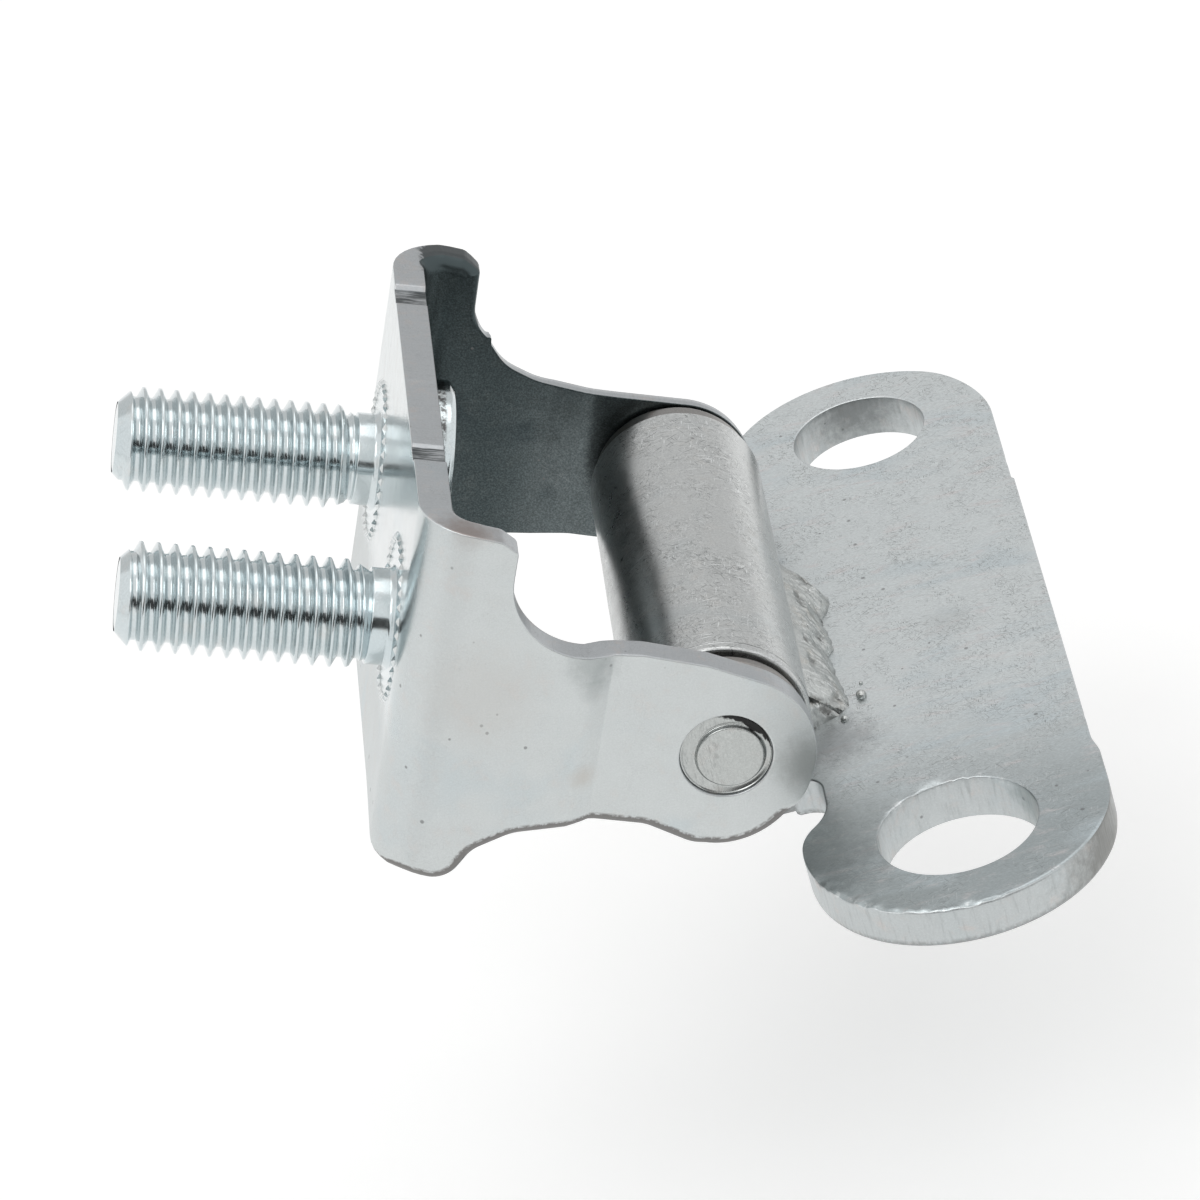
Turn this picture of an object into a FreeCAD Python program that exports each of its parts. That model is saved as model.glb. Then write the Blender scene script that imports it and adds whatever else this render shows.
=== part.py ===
import FreeCAD, Part
import math
import os

import Sketcher

# A car door hinge: a folded steel bracket with two studs, a riveted pin, and a flat
# leaf welded to the knuckle barrel that turns on it. Millimetres and degrees.
# The origin is the middle of the leaf's two bolt holes, on the leaf's mounting face.
# +X points away from the pin, +Y along the pin and +Z out of the mounting face.
SIZES = {
    # Leaf
    "leaf_thickness": 3.5,
    "leaf_die_roll": 0.8,
    "pin_reach": 14.9,
    "hole_gap": 7.1,
    "near_hole_diameter": 11.8,
    "far_hole_diameter": 10.7,
    "lobe_radius": 11.3,
    "near_lobe_inset": 1.1,
    "far_lobe_inset": 2.1,
    "notch_radius": 4.0,
    "notch_ahead": 2.0,
    "notch_shift": 0.5,
    "lobe_shoulder": 4.0,
    "toe_reach": 0.6,
    # Knuckle barrel and its bushes
    "barrel_wall": 1.7,
    "barrel_length": 35.4,
    "barrel_edge_break": 0.5,
    "barrel_sink": 0.7,
    "bush_wall": 1.0,
    "bush_length": 12.0,
    "flange_thickness": 1.85,
    "flange_step": 0.6,
    "running_clearance": 0.03,
    "flange_gap": 0.35,
    # Pin
    "pin_diameter": 8.0,
    "pin_shoulder": 0.6,
    "rivet_bevel": 1.05,
    "rivet_slope": 0.6,
    "rivet_depth": 0.1,
    # Bracket
    "sheet": 2.4,
    "plate_reach": 24.4,
    "ear_wall": 3.2,
    "bend_radius": 4.6,
    "joggle_offset": 0.7,
    "joggle_width": 13.2,
    "joggle_run": 1.7,
    "joggle_round": 1.2,
    "plate_top": 16.6,
    "plate_bottom": 11.0,
    "horn_width": 7.0,
    "horn_round": 1.6,
    "waist_height": 7.2,
    "waist_round": 5.0,
    "neck_width": 15.4,
    "neck_depth": 5.5,
    "heel_width": 9.0,
    "heel_depth": 7.2,
    "foot_width": 5.2,
    "foot_round": 2.6,
    "rest_angle": 22.5,
    # Studs
    "stud_margin": 11.1,
    "stud_height": 3.2,
    "stud_diameter": 8.0,
    "stud_length": 20.0,
    "stud_point": 1.1,
    "thread_groove": 1.2,
    "thread_depth": 0.7,
    "neck_diameter": 7.1,
    "neck_length": 1.7,
    "collar_diameter": 12.0,
    "head_diameter": 13.2,
    "head_thickness": 3.0,
    "head_chamfer": 0.4,
    # Welds
    "bead_taper": 0.6,
    "bead_radius": 3.4,
    "bead_overlap": 0.5,
    "bead_rise": 0.4,
    "bead_margin": 6.45,
    "bead_shift": -1.0,
    "root_bead_radius": 2.2,
    "root_bead_drop": 1.1,
    "root_bead_margin": 5.7,
}


class Dim:
    """A length together with the sheet expression that gives it."""

    def __init__(self, value, text):
        self.value = float(value)
        self.text = text

    def __add__(self, other):
        other = dim(other)
        return Dim(self.value + other.value, f"({self.text} + {other.text})")

    def __radd__(self, other):
        return dim(other) + self

    def __sub__(self, other):
        other = dim(other)
        return Dim(self.value - other.value, f"({self.text} - {other.text})")

    def __rsub__(self, other):
        return dim(other) - self

    def __mul__(self, other):
        other = dim(other)
        return Dim(self.value * other.value, f"({self.text} * {other.text})")

    def __truediv__(self, other):
        other = dim(other)
        return Dim(self.value / other.value, f"({self.text} / {other.text})")

    def __neg__(self):
        return Dim(-self.value, f"(0 - {self.text})")


def dim(number):
    """Return a Dim for a plain number, and a Dim as it is."""
    if isinstance(number, Dim):
        return number
    return Dim(number, repr(float(number)))


def size(name):
    """Return the driving dimension of that name."""
    return Dim(SIZES[name], f"Sizes.{name}")


doc = FreeCAD.newDocument("door_hinge")
sheet = doc.addObject("Spreadsheet::Sheet", "Sizes")
for row, (alias, number) in enumerate(SIZES.items(), start=1):
    sheet.set(f"A{row}", alias)
    sheet.set(f"B{row}", str(number))
    sheet.setAlias(f"B{row}", alias)
doc.recompute()

# Sizes that several pieces share
bore_radius = size("pin_diameter") / 2 + size("bush_wall")
barrel_radius = bore_radius + size("barrel_wall")
barrel_half = size("barrel_length") / 2
pin_height = size("leaf_thickness") + barrel_radius - size("barrel_sink")
rivet_radius = size("pin_diameter") / 2 - size("pin_shoulder")
ear_radius = rivet_radius + size("ear_wall")
ear_inner = barrel_half + size("flange_thickness") + size("flange_gap")
ear_outer = ear_inner + size("sheet")
hole_reach = ear_outer + size("hole_gap")
bracket_half = ear_outer + size("joggle_offset")
plate_outer = -size("plate_reach")
plate_inner = plate_outer + size("sheet")
stud_reach = bracket_half - size("stud_margin")
toe = -(size("pin_reach") + size("toe_reach"))
trim_margin = size("sheet")


def new_body(label, turned=False, at_pin=True):
    """Make a body whose frame is the leaf's, the pin's, or the bracket's turned about the pin."""
    body = doc.addObject("PartDesign::Body", label)
    body.Label = label
    if turned:
        body.Placement = FreeCAD.Placement(
            FreeCAD.Vector(), FreeCAD.Rotation(FreeCAD.Vector(0, 1, 0), SIZES["rest_angle"])
        )
        body.setExpression("Placement.Rotation.Angle", "Sizes.rest_angle")
    if at_pin:
        body.setExpression("Placement.Base.x", "-Sizes.pin_reach")
        body.setExpression("Placement.Base.z", pin_height.text)
    return body


def new_sketch(body, role, name, lift=(0, 0, 0)):
    """Attach a sketch to one of the body's origin planes, moved by lift in the sketch's own axes."""
    sketch = body.newObject("Sketcher::SketchObject", name)
    plane = next(item for item in body.Origin.OriginFeatures if item.Role == role)
    sketch.AttachmentSupport = [(plane, "")]
    sketch.MapMode = "FlatFace"
    for axis, amount in zip("xyz", lift):
        sketch.setExpression(f"AttachmentOffset.Base.{axis}", dim(amount).text)
    doc.recompute()
    return sketch


def bind(sketch, kind, place, amount):
    """Add one dimension to a sketch and bind it to the sheet."""
    amount = dim(amount)
    index = sketch.addConstraint(Sketcher.Constraint(kind, *place, amount.value))
    sketch.setExpression(f"Constraints[{index}]", amount.text)


def polygon(sketch, corners):
    """Draw a closed outline of straight lines through corners given as pairs of sizes."""
    points = [FreeCAD.Vector(dim(x).value, dim(y).value, 0) for x, y in corners]
    first = sketch.GeometryCount
    for start, end in zip(points, points[1:] + points[:1]):
        sketch.addGeometry(Part.LineSegment(start, end), False)
    count = len(points)
    for number in range(count):
        after = first + (number + 1) % count
        sketch.addConstraint(Sketcher.Constraint("Coincident", first + number, 2, after, 1))
    for number, (x, y) in enumerate(corners):
        bind(sketch, "DistanceX", (first + number, 1), x)
        bind(sketch, "DistanceY", (first + number, 1), y)


def circle(sketch, x, y, radius):
    """Draw a circle whose centre and radius are sizes."""
    centre = FreeCAD.Vector(dim(x).value, dim(y).value, 0)
    number = sketch.addGeometry(
        Part.Circle(centre, FreeCAD.Vector(0, 0, 1), dim(radius).value), False
    )
    bind(sketch, "DistanceX", (number, 3), x)
    bind(sketch, "DistanceY", (number, 3), y)
    bind(sketch, "Radius", (number,), radius)


def pad(body, sketch, name, length, midplane=False):
    """Pad a sketch along its normal, or to both sides of it."""
    feature = body.newObject("PartDesign::Pad", name)
    feature.Profile = sketch
    feature.Midplane = midplane
    feature.setExpression("Length", dim(length).text)
    sketch.Visibility = False
    doc.recompute()
    return feature


def cut_through(body, sketch, name):
    """Cut a sketch right through the body to both sides, and make sure that it cuts."""
    before = body.Shape.Volume
    feature = body.newObject("PartDesign::Pocket", name)
    feature.Profile = sketch
    feature.Type = "ThroughAll"
    feature.Midplane = True
    sketch.Visibility = False
    doc.recompute()
    if body.Shape.Volume >= before:
        raise ValueError(f"{name} cuts nothing")
    return feature


def revolve(body, sketch, name, axis):
    """Turn a sketch once around its own horizontal or vertical axis."""
    feature = body.newObject("PartDesign::Revolution", name)
    feature.Profile = sketch
    feature.ReferenceAxis = (sketch, [axis])
    feature.Angle = 360
    sketch.Visibility = False
    doc.recompute()
    return feature


def round_edges(body, name, radius, chosen):
    """Fillet the edges of the body's tip that the test chosen accepts."""
    return dress_edges(body, "PartDesign::Fillet", name, "Radius", radius, chosen)


def bevel_edges(body, name, width, chosen):
    """Chamfer the edges of the body's tip that the test chosen accepts."""
    return dress_edges(body, "PartDesign::Chamfer", name, "Size", width, chosen)


def dress_edges(body, kind, name, key, amount, chosen):
    """Round or bevel the edges of the body's tip that the test chosen accepts."""
    tip = body.Tip
    names = [f"Edge{n}" for n, edge in enumerate(tip.Shape.Edges, start=1) if chosen(edge)]
    feature = body.newObject(kind, name)
    feature.Base = (tip, names)
    feature.setExpression(key, dim(amount).text)
    doc.recompute()
    return feature


def runs_along(edge, axis, first, second):
    """Tell whether an edge is a straight line along axis through a place in the other two."""
    if edge.Curve.TypeId != "Part::GeomLine":
        return False
    direction = edge.tangentAt(edge.FirstParameter)
    middle = edge.CenterOfMass
    others = [name for name in "xyz" if name != axis]
    near = all(
        abs(getattr(middle, name) - dim(place).value) < 0.01
        for name, place in zip(others, (first, second))
    )
    return near and abs(getattr(direction, axis)) > 0.999


def runs_along_upright(edge, x, y):
    """Tell whether an edge stands along z at x and y."""
    return runs_along(edge, "z", x, y)


def runs_across(edge, x, z):
    """Tell whether an edge runs along y at x and z."""
    return runs_along(edge, "y", x, z)


def lies_at_height(edge, height):
    """Tell whether an edge lies in the plane z = height."""
    box = edge.BoundBox
    return abs(box.ZMin - height) < 0.001 and abs(box.ZMax - height) < 0.001


def build_leaf():
    """Make the flat leaf: a blank with two round lobes, ear notches, bolt holes and a barrel seat."""
    body = new_body("leaf_plate", at_pin=False)
    radius = size("lobe_radius")
    near = size("near_lobe_inset") - hole_reach
    far = hole_reach - size("far_lobe_inset")
    blank = new_sketch(body, "XY_Plane", "leaf_blank_outline")
    polygon(blank, [
        (radius, near),
        (radius, far),
        (-radius, far),
        (-radius, barrel_half),
        (toe, barrel_half),
        (toe, -barrel_half),
        (-radius, -barrel_half),
        (-radius, near),
    ])
    pad(body, blank, "leaf_blank", size("leaf_thickness"))
    for side, y in (("near", near), ("far", far)):
        lobe = new_sketch(body, "XY_Plane", f"{side}_lobe_circle")
        circle(lobe, 0, y, radius)
        pad(body, lobe, f"{side}_lobe", size("leaf_thickness"))

    notch_x = size("notch_ahead") - size("pin_reach")
    notch_y = (ear_outer + ear_inner) / 2 + size("notch_shift")
    notches = new_sketch(body, "XY_Plane", "ear_notch_circles")
    for sign in (-1, 1):
        circle(notches, notch_x, notch_y * sign, size("notch_radius"))
    cut_through(body, notches, "ear_notches")
    inset = notch_x.value + radius.value
    corner_y = notch_y.value + (size("notch_radius").value ** 2 - inset ** 2) ** 0.5
    round_edges(body, "lobe_shoulders", size("lobe_shoulder"), lambda edge: any(
        runs_along(edge, "z", -radius, corner_y * sign) for sign in (-1, 1)
    ))
    bevel_edges(body, "die_rolled_edges", size("leaf_die_roll"), lambda edge: lies_at_height(edge, 0))

    holes = new_sketch(body, "XY_Plane", "bolt_hole_circles")
    circle(holes, 0, -hole_reach, size("near_hole_diameter") / 2)
    circle(holes, 0, hole_reach, size("far_hole_diameter") / 2)
    cut_through(body, holes, "bolt_holes")
    seat = new_sketch(body, "XZ_Plane", "barrel_seat_circle")
    circle(seat, -size("pin_reach"), pin_height, barrel_radius)
    cut_through(body, seat, "barrel_seat")
    return body


def build_barrel():
    """Make the knuckle barrel, a thick tube with broken outer edges."""
    body = new_body("knuckle_barrel")
    tube = new_sketch(body, "XZ_Plane", "barrel_rings")
    circle(tube, 0, 0, barrel_radius)
    circle(tube, 0, 0, bore_radius)
    pad(body, tube, "barrel_tube", size("barrel_length"), midplane=True)
    bevel_edges(body, "barrel_ends", size("barrel_edge_break"), lambda edge: (
        edge.Curve.TypeId == "Part::GeomCircle"
        and abs(edge.Curve.Radius - barrel_radius.value) < 0.01
    ))
    return body


def build_bush(label, side):
    """Make one flanged bush, with its flange against the barrel's end on that side of the pin."""
    body = new_body(label)
    bore = size("pin_diameter") / 2 + size("running_clearance")
    wall = bore_radius
    flange = barrel_radius - size("flange_step")
    face = (ear_inner - size("flange_gap")) * side
    section = new_sketch(body, "XY_Plane", f"{label}_section")
    polygon(section, [
        (bore, (barrel_half - size("bush_length")) * side),
        (wall, (barrel_half - size("bush_length")) * side),
        (wall, barrel_half * side),
        (flange, barrel_half * side),
        (flange, face),
        (bore, face),
    ])
    revolve(body, section, f"{label}_turning", "V_Axis")
    return body


def build_pin():
    """Make the shouldered pin with both ends riveted into the ears."""
    body = new_body("hinge_pin")
    shank = size("pin_diameter") / 2
    end = rivet_radius
    face = rivet_radius - size("rivet_bevel")
    tip = ear_outer - size("rivet_depth")
    slope = tip - size("rivet_slope")
    section = new_sketch(body, "XY_Plane", "pin_section")
    polygon(section, [
        (0, -tip),
        (face, -tip),
        (end, -slope),
        (end, -ear_inner),
        (shank, -ear_inner),
        (shank, ear_inner),
        (end, ear_inner),
        (end, slope),
        (face, tip),
        (0, tip),
    ])
    revolve(body, section, "pin_turning", "V_Axis")
    return body


def bracket_section(body):
    """Draw the bracket's folded strip seen along the fold lines, with sharp bends."""
    half = bracket_half
    start = plate_outer + size("joggle_width")
    end = start + size("joggle_run")
    outer = [
        (0, ear_outer),
        (end, ear_outer),
        (start, half),
        (plate_outer, half),
    ]
    inner = [
        (plate_inner, half - size("sheet")),
        (start, half - size("sheet")),
        (end, ear_inner),
        (0, ear_inner),
    ]
    mirrored = [(x, -dim(y)) for x, y in reversed(outer)]
    mirrored_inner = [(x, -dim(y)) for x, y in reversed(inner)]
    strip = new_sketch(body, "XY_Plane", "strip_section", lift=(0, 0, -size("plate_bottom")))
    polygon(strip, outer + mirrored + mirrored_inner + inner)
    pad(body, strip, "folded_strip", size("plate_top") + size("plate_bottom"))
    return half, start, end


def build_bracket():
    """Make the folded bracket: base plate, two S-curved wings, joggled ears and stud holes."""
    body = new_body("bracket", turned=True)
    half, start, end = bracket_section(body)
    bend = size("bend_radius")
    round_edges(body, "outer_bends", bend, lambda edge: any(
        runs_along_upright(edge, plate_outer, half * sign) for sign in (-1, 1)
    ))
    round_edges(body, "inner_bends", bend - size("sheet"), lambda edge: any(
        runs_along_upright(edge, plate_inner, (half - size("sheet")) * sign) for sign in (-1, 1)
    ))
    round_edges(body, "joggle_bends", size("joggle_round"), lambda edge: any(
        runs_along_upright(edge, x, y * sign)
        for x, y in (
            (start, half),
            (end, ear_outer),
            (start, half - size("sheet")),
            (end, ear_inner),
        )
        for sign in (-1, 1)
    ))

    top, bottom = size("plate_top"), -size("plate_bottom")
    horn = plate_outer + size("horn_width")
    neck = plate_outer + size("neck_width")
    heel = plate_outer + size("heel_width")
    foot = plate_outer + size("foot_width")
    side = new_sketch(body, "XZ_Plane", "wing_trim_outline")
    polygon(side, [
        (horn, top + trim_margin),
        (horn, size("waist_height")),
        (0, ear_radius),
        (0, -ear_radius),
        (neck, -size("neck_depth")),
        (heel, -size("heel_depth")),
        (foot, bottom),
        (foot, bottom - trim_margin),
        (trim_margin, bottom - trim_margin),
        (trim_margin, top + trim_margin),
    ])
    cut_through(body, side, "wing_trim")
    round_edges(body, "waist_curves", size("waist_round"), lambda edge: any(
        runs_across(edge, x, z)
        for x, z in (
            (horn, size("waist_height")),
            (neck, -size("neck_depth")),
            (heel, -size("heel_depth")),
        )
    ))
    round_edges(body, "foot_corners", size("foot_round"), lambda edge: runs_across(edge, foot, bottom))
    round_edges(body, "horn_corners", size("horn_round"), lambda edge: runs_across(edge, horn, top))

    for label, face in (("near_ear", ear_outer), ("far_ear", -ear_inner)):
        disc = new_sketch(body, "XZ_Plane", f"{label}_circle", lift=(0, 0, face - size("sheet")))
        circle(disc, 0, 0, ear_radius)
        pad(body, disc, f"{label}_disc", size("sheet"))
    pin_holes = new_sketch(body, "XZ_Plane", "pin_hole_circle")
    circle(pin_holes, 0, 0, rivet_radius)
    cut_through(body, pin_holes, "pin_holes")
    stud_holes = new_sketch(body, "YZ_Plane", "stud_hole_circles")
    for sign in (-1, 1):
        circle(stud_holes, stud_reach * sign, size("stud_height"), size("collar_diameter") / 2)
    cut_through(body, stud_holes, "stud_holes")
    return body


def cut_thread_grooves(body, label, side):
    """Cut six grooves along the thread, with flats at their root."""
    grooves = range(6)
    flats = range(12)
    shank = size("stud_diameter") / 2
    root = shank - size("thread_depth")
    step = (size("stud_length") - size("stud_point") - size("neck_length")) / len(grooves)
    first = plate_outer - size("neck_length") - step / 2
    rim = new_sketch(body, "YZ_Plane", f"{label}_groove_outline", lift=(0, 0, first))
    circle(rim, stud_reach * side, size("stud_height"), shank + size("thread_depth"))
    corner = root / math.cos(math.pi / len(flats))
    turns = [2 * math.pi * (number + 0.5) / len(flats) for number in flats]
    polygon(rim, [
        (stud_reach * side + corner * math.cos(turn), size("stud_height") + corner * math.sin(turn))
        for turn in turns
    ])
    groove = body.newObject("PartDesign::Pocket", f"{label}_groove")
    groove.Profile = rim
    groove.Midplane = True
    groove.setExpression("Length", size("thread_groove").text)
    rim.Visibility = False
    doc.recompute()
    before = body.Shape.Volume
    row = body.newObject("PartDesign::LinearPattern", f"{label}_grooves")
    row.Originals = [groove]
    row.Direction = (rim, ["N_Axis"])
    row.Reversed = True
    row.Occurrences = len(grooves)
    row.setExpression("Length", (step * (len(grooves) - 1)).text)
    body.Tip = row
    doc.recompute()
    if body.Shape.Volume >= before:
        raise ValueError(f"{label}_grooves cut nothing")


def build_stud(label, side):
    """Make one stud: grooved thread with its point, neck, collar in the plate and head inside."""
    body = new_body(label, turned=True)
    neck = size("neck_diameter") / 2
    collar = size("collar_diameter") / 2
    head = size("head_diameter") / 2
    shank = size("stud_diameter") / 2
    point = size("stud_point")
    tip = plate_outer - size("stud_length")
    face = plate_inner + size("head_thickness")
    chamfer = size("head_chamfer")
    section = new_sketch(
        body, "XY_Plane", f"{label}_section", lift=(0, stud_reach * side, size("stud_height"))
    )
    polygon(section, [
        (tip, 0),
        (tip, shank - point),
        (tip + point, shank),
        (plate_outer - size("neck_length"), shank),
        (plate_outer - size("neck_length"), neck),
        (plate_outer, neck),
        (plate_outer, collar),
        (plate_inner, collar),
        (plate_inner, head),
        (face - chamfer, head),
        (face, head - chamfer),
        (face, 0),
    ])
    revolve(body, section, f"{label}_turning", "H_Axis")
    cut_thread_grooves(body, label, side)
    return body


def build_bead(label, radius, x, z, length, shift):
    """Make a weld bead: a roll along the barrel with tapered ends, cut back by barrel and leaf."""
    taper = radius * size("bead_taper")
    half = length / 2 - taper
    roll = doc.addObject("Part::Cylinder", f"{label}_roll")
    roll.setExpression("Radius", radius.text)
    roll.setExpression("Height", (half * 2).text)
    ends = [doc.addObject("Part::Cone", f"{label}_{end}") for end in ("near_end", "far_end")]
    for item, key in zip(ends, ("Radius2", "Radius1")):
        item.setExpression(key, radius.text)
    for item, key in zip(ends, ("Radius1", "Radius2")):
        item.setExpression(key, (radius - taper).text)
        item.setExpression("Height", taper.text)
    for item, y in ((roll, shift - half), (ends[0], shift - half - taper), (ends[1], shift + half)):
        item.Placement = FreeCAD.Placement(
            FreeCAD.Vector(), FreeCAD.Rotation(FreeCAD.Vector(1, 0, 0), -90)
        )
        item.setExpression("Placement.Base.x", x.text)
        item.setExpression("Placement.Base.y", y.text)
        item.setExpression("Placement.Base.z", z.text)
    whole = doc.addObject("Part::MultiFuse", f"{label}_whole")
    whole.Shapes = [roll] + ends

    barrel = doc.addObject("Part::Cylinder", f"{label}_barrel_side")
    barrel.Placement = FreeCAD.Placement(FreeCAD.Vector(), FreeCAD.Rotation(FreeCAD.Vector(1, 0, 0), -90))
    barrel.setExpression("Radius", barrel_radius.text)
    barrel.setExpression("Height", size("barrel_length").text)
    barrel.setExpression("Placement.Base.x", (-size("pin_reach")).text)
    barrel.setExpression("Placement.Base.y", (-barrel_half).text)
    barrel.setExpression("Placement.Base.z", pin_height.text)
    leaf = doc.addObject("Part::Box", f"{label}_leaf_side")
    leaf.setExpression("Length", (size("lobe_radius") - toe).text)
    leaf.setExpression("Width", size("barrel_length").text)
    leaf.setExpression("Height", size("leaf_thickness").text)
    leaf.setExpression("Placement.Base.x", toe.text)
    leaf.setExpression("Placement.Base.y", (-barrel_half).text)
    trimmed = doc.addObject("Part::Cut", f"{label}_trimmed")
    trimmed.Base = whole
    trimmed.Tool = barrel
    bead = doc.addObject("Part::Cut", label)
    bead.Label = label
    bead.Base = trimmed
    bead.Tool = leaf
    doc.recompute()
    return bead


def build_beads():
    """Make the weld in the corner above the leaf and the one along the leaf's toe."""
    top = build_bead(
        "weld_bead_top",
        size("bead_radius"),
        barrel_radius - size("bead_overlap") - size("pin_reach"),
        size("leaf_thickness") + size("bead_rise"),
        (barrel_half - size("bead_margin")) * 2,
        size("bead_shift"),
    )
    root = build_bead(
        "weld_bead_root",
        size("root_bead_radius"),
        toe,
        size("leaf_thickness") - size("root_bead_drop"),
        (barrel_half - size("root_bead_margin")) * 2,
        dim(0),
    )
    return [top, root]


pieces = [
    build_leaf(),
    build_barrel(),
    build_bush("bush_near", -1),
    build_bush("bush_far", 1),
    build_pin(),
    build_bracket(),
    build_stud("stud_near", -1),
    build_stud("stud_far", 1),
]
pieces += build_beads()
doc.recompute()

for item in doc.Objects:
    if "Invalid" in item.State or "Error" in item.State:
        raise ValueError(f"{item.Name} did not compute: {item.State}")
os.makedirs("parts", exist_ok=True)
for piece in pieces:
    if piece.Shape.isNull() or not piece.Shape.isValid():
        raise ValueError(f"{piece.Label} has no valid shape")
    piece.Shape.exportStep(f"parts/{piece.Label}.step")
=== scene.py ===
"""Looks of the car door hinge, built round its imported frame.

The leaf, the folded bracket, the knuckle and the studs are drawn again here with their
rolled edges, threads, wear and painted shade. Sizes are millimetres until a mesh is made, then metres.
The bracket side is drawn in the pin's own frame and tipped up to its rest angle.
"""

import enum
import logging
import math
from dataclasses import dataclass, field
from typing import Callable, Iterable, Sequence

import bmesh
import bpy
import numpy as np
from mathutils import Matrix, Vector, noise
from mathutils.geometry import delaunay_2d_cdt


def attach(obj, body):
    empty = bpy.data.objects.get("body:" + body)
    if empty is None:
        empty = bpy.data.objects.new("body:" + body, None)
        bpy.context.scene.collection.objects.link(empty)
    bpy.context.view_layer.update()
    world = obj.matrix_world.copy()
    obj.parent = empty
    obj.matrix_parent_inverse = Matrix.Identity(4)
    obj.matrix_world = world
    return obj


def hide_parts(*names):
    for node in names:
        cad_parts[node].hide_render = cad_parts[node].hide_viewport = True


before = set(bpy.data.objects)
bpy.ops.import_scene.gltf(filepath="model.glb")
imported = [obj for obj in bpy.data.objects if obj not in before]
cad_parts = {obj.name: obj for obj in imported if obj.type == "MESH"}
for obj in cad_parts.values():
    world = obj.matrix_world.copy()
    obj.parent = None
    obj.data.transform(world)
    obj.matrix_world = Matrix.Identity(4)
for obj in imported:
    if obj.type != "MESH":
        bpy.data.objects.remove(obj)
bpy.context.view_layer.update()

LOG = logging.getLogger("hinge")
MM = 0.001
PIN_REACH = 14.9
PIN_HEIGHT = 9.5
REST_ANGLE = 22.5
LEAST_COSINE = 0.6
AXIS = 1e-6
MAP = "flat_mm"
WHITE = (1, 1, 1)

Point = tuple[float, float]
Corner = tuple[float, float, float]
Tint = tuple[float, float, float]
Place = tuple[float, float, float]
Rule = Callable[[np.ndarray], np.ndarray]
Rim = tuple[int, np.ndarray]
Given = tuple[str, str, object]
Feeds = dict[str | int, object]
Socket = bpy.types.NodeSocket


def eased(value: np.ndarray, low: float, high: float) -> np.ndarray:
    """Smooth step of an array from 0 at low to 1 at high."""
    share = np.clip((value - low) / (high - low), 0, 1)
    return share * share * (3 - 2 * share)


def unit(vectors: np.ndarray) -> np.ndarray:
    """Vectors brought to length 1."""
    return vectors / np.linalg.norm(vectors, axis=-1, keepdims=True)


class Body(enum.Enum):
    """The two bodies that turn on each other."""

    LEAF = "leaf_side"
    BRACKET = "bracket_side"


class Slot(enum.Enum):
    """The record's material slots."""

    ZINC = "zinc_plate"
    BRIGHT = "bright_zinc"
    WELD = "weld_metal"
    BUSH = "bush_metal"
    STEEL = "bare_steel"


# Places


def leaf_frame() -> Matrix:
    """Matrix from the leaf's own millimetres to metres."""
    return Matrix.Scale(MM, 4)


def pin_frame() -> Matrix:
    """Matrix from millimetres about the pin to metres."""
    return Matrix.Scale(MM, 4) @ Matrix.Translation((-PIN_REACH, 0, PIN_HEIGHT))


def bracket_frame() -> Matrix:
    """Matrix from the bracket's millimetres, level with its plate, to metres at rest."""
    return pin_frame() @ Matrix.Rotation(math.radians(REST_ANGLE), 4, "Y")


# Outlines


def arc_points(centre: Point, radius: float, start: float, end: float, step: float) -> list[Point]:
    """Points along an arc.

    Args:
        centre: The arc's centre.
        radius: Its radius.
        start: First angle in degrees.
        end: Last angle in degrees.
        step: Longest chord.

    Returns:
        The points, both ends included.
    """
    count = max(4, math.ceil(abs(math.radians(end - start)) * radius / step))
    angles = [math.radians(start + (end - start) * i / count) for i in range(count + 1)]
    return [(centre[0] + radius * math.cos(a), centre[1] + radius * math.sin(a)) for a in angles]


def rounded_path(corners: Sequence[Corner], step: float, closed: bool = False, guard: float = 0.0) -> list[Point]:
    """Walk straight runs between corners and round each corner with an arc.

    Args:
        corners: Corners as x, y and radius.
        step: Longest chord, on the arcs and on the straight runs.
        closed: Whether the path returns to its start.
        guard: Distance of an extra point kept on each side of an arc, or none.

    Returns:
        The points of the path.
    """
    count = len(corners)
    stations: list[Point] = []
    for index, (x, y, radius) in enumerate(corners):
        here = np.array((x, y))
        at_end = not closed and index in (0, count - 1)
        if at_end or radius <= 0:
            stations.append((x, y))
            continue
        before = unit(np.array(corners[index - 1][:2]) - here)
        after = unit(np.array(corners[(index + 1) % count][:2]) - here)
        half = math.acos(float(np.clip(before @ after, -1, 1))) / 2
        if half > math.pi / 2 - 1e-4:
            stations.append((x, y))
            continue
        reach = radius / math.tan(half)
        middle = here + (before + after) / np.linalg.norm(before + after) * radius / math.sin(half)
        first, last = here + before * reach, here + after * reach
        turn_from = math.atan2(*(first - middle)[::-1])
        turn_to = math.atan2(*(last - middle)[::-1])
        sweep = (turn_to - turn_from + math.pi) % (2 * math.pi) - math.pi
        parts = max(4, math.ceil(abs(sweep) * radius / step))
        if guard:
            stations.append(tuple(first + before * guard))
        for part in range(parts + 1):
            angle = turn_from + sweep * part / parts
            stations.append((middle[0] + radius * math.cos(angle), middle[1] + radius * math.sin(angle)))
        if guard:
            stations.append(tuple(last + after * guard))
    pairs = zip(stations, stations[1:] + stations[:1]) if closed else zip(stations, stations[1:])
    path: list[Point] = []
    for start, end in pairs:
        gap = math.dist(start, end)
        parts = max(1, math.ceil(gap / max(step, 1e-6) / 2)) if gap > 2 * step else 1
        path += [
            (start[0] + (end[0] - start[0]) * i / parts, start[1] + (end[1] - start[1]) * i / parts)
            for i in range(parts)
        ]
    return path if closed else path + [stations[-1]]


def circle_points(x: float, y: float, radius: float, step: float = 0.35) -> list[Point]:
    """Points round a circle, anticlockwise, the first not repeated."""
    return arc_points((x, y), radius, 0, 360, step)[:-1]


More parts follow.
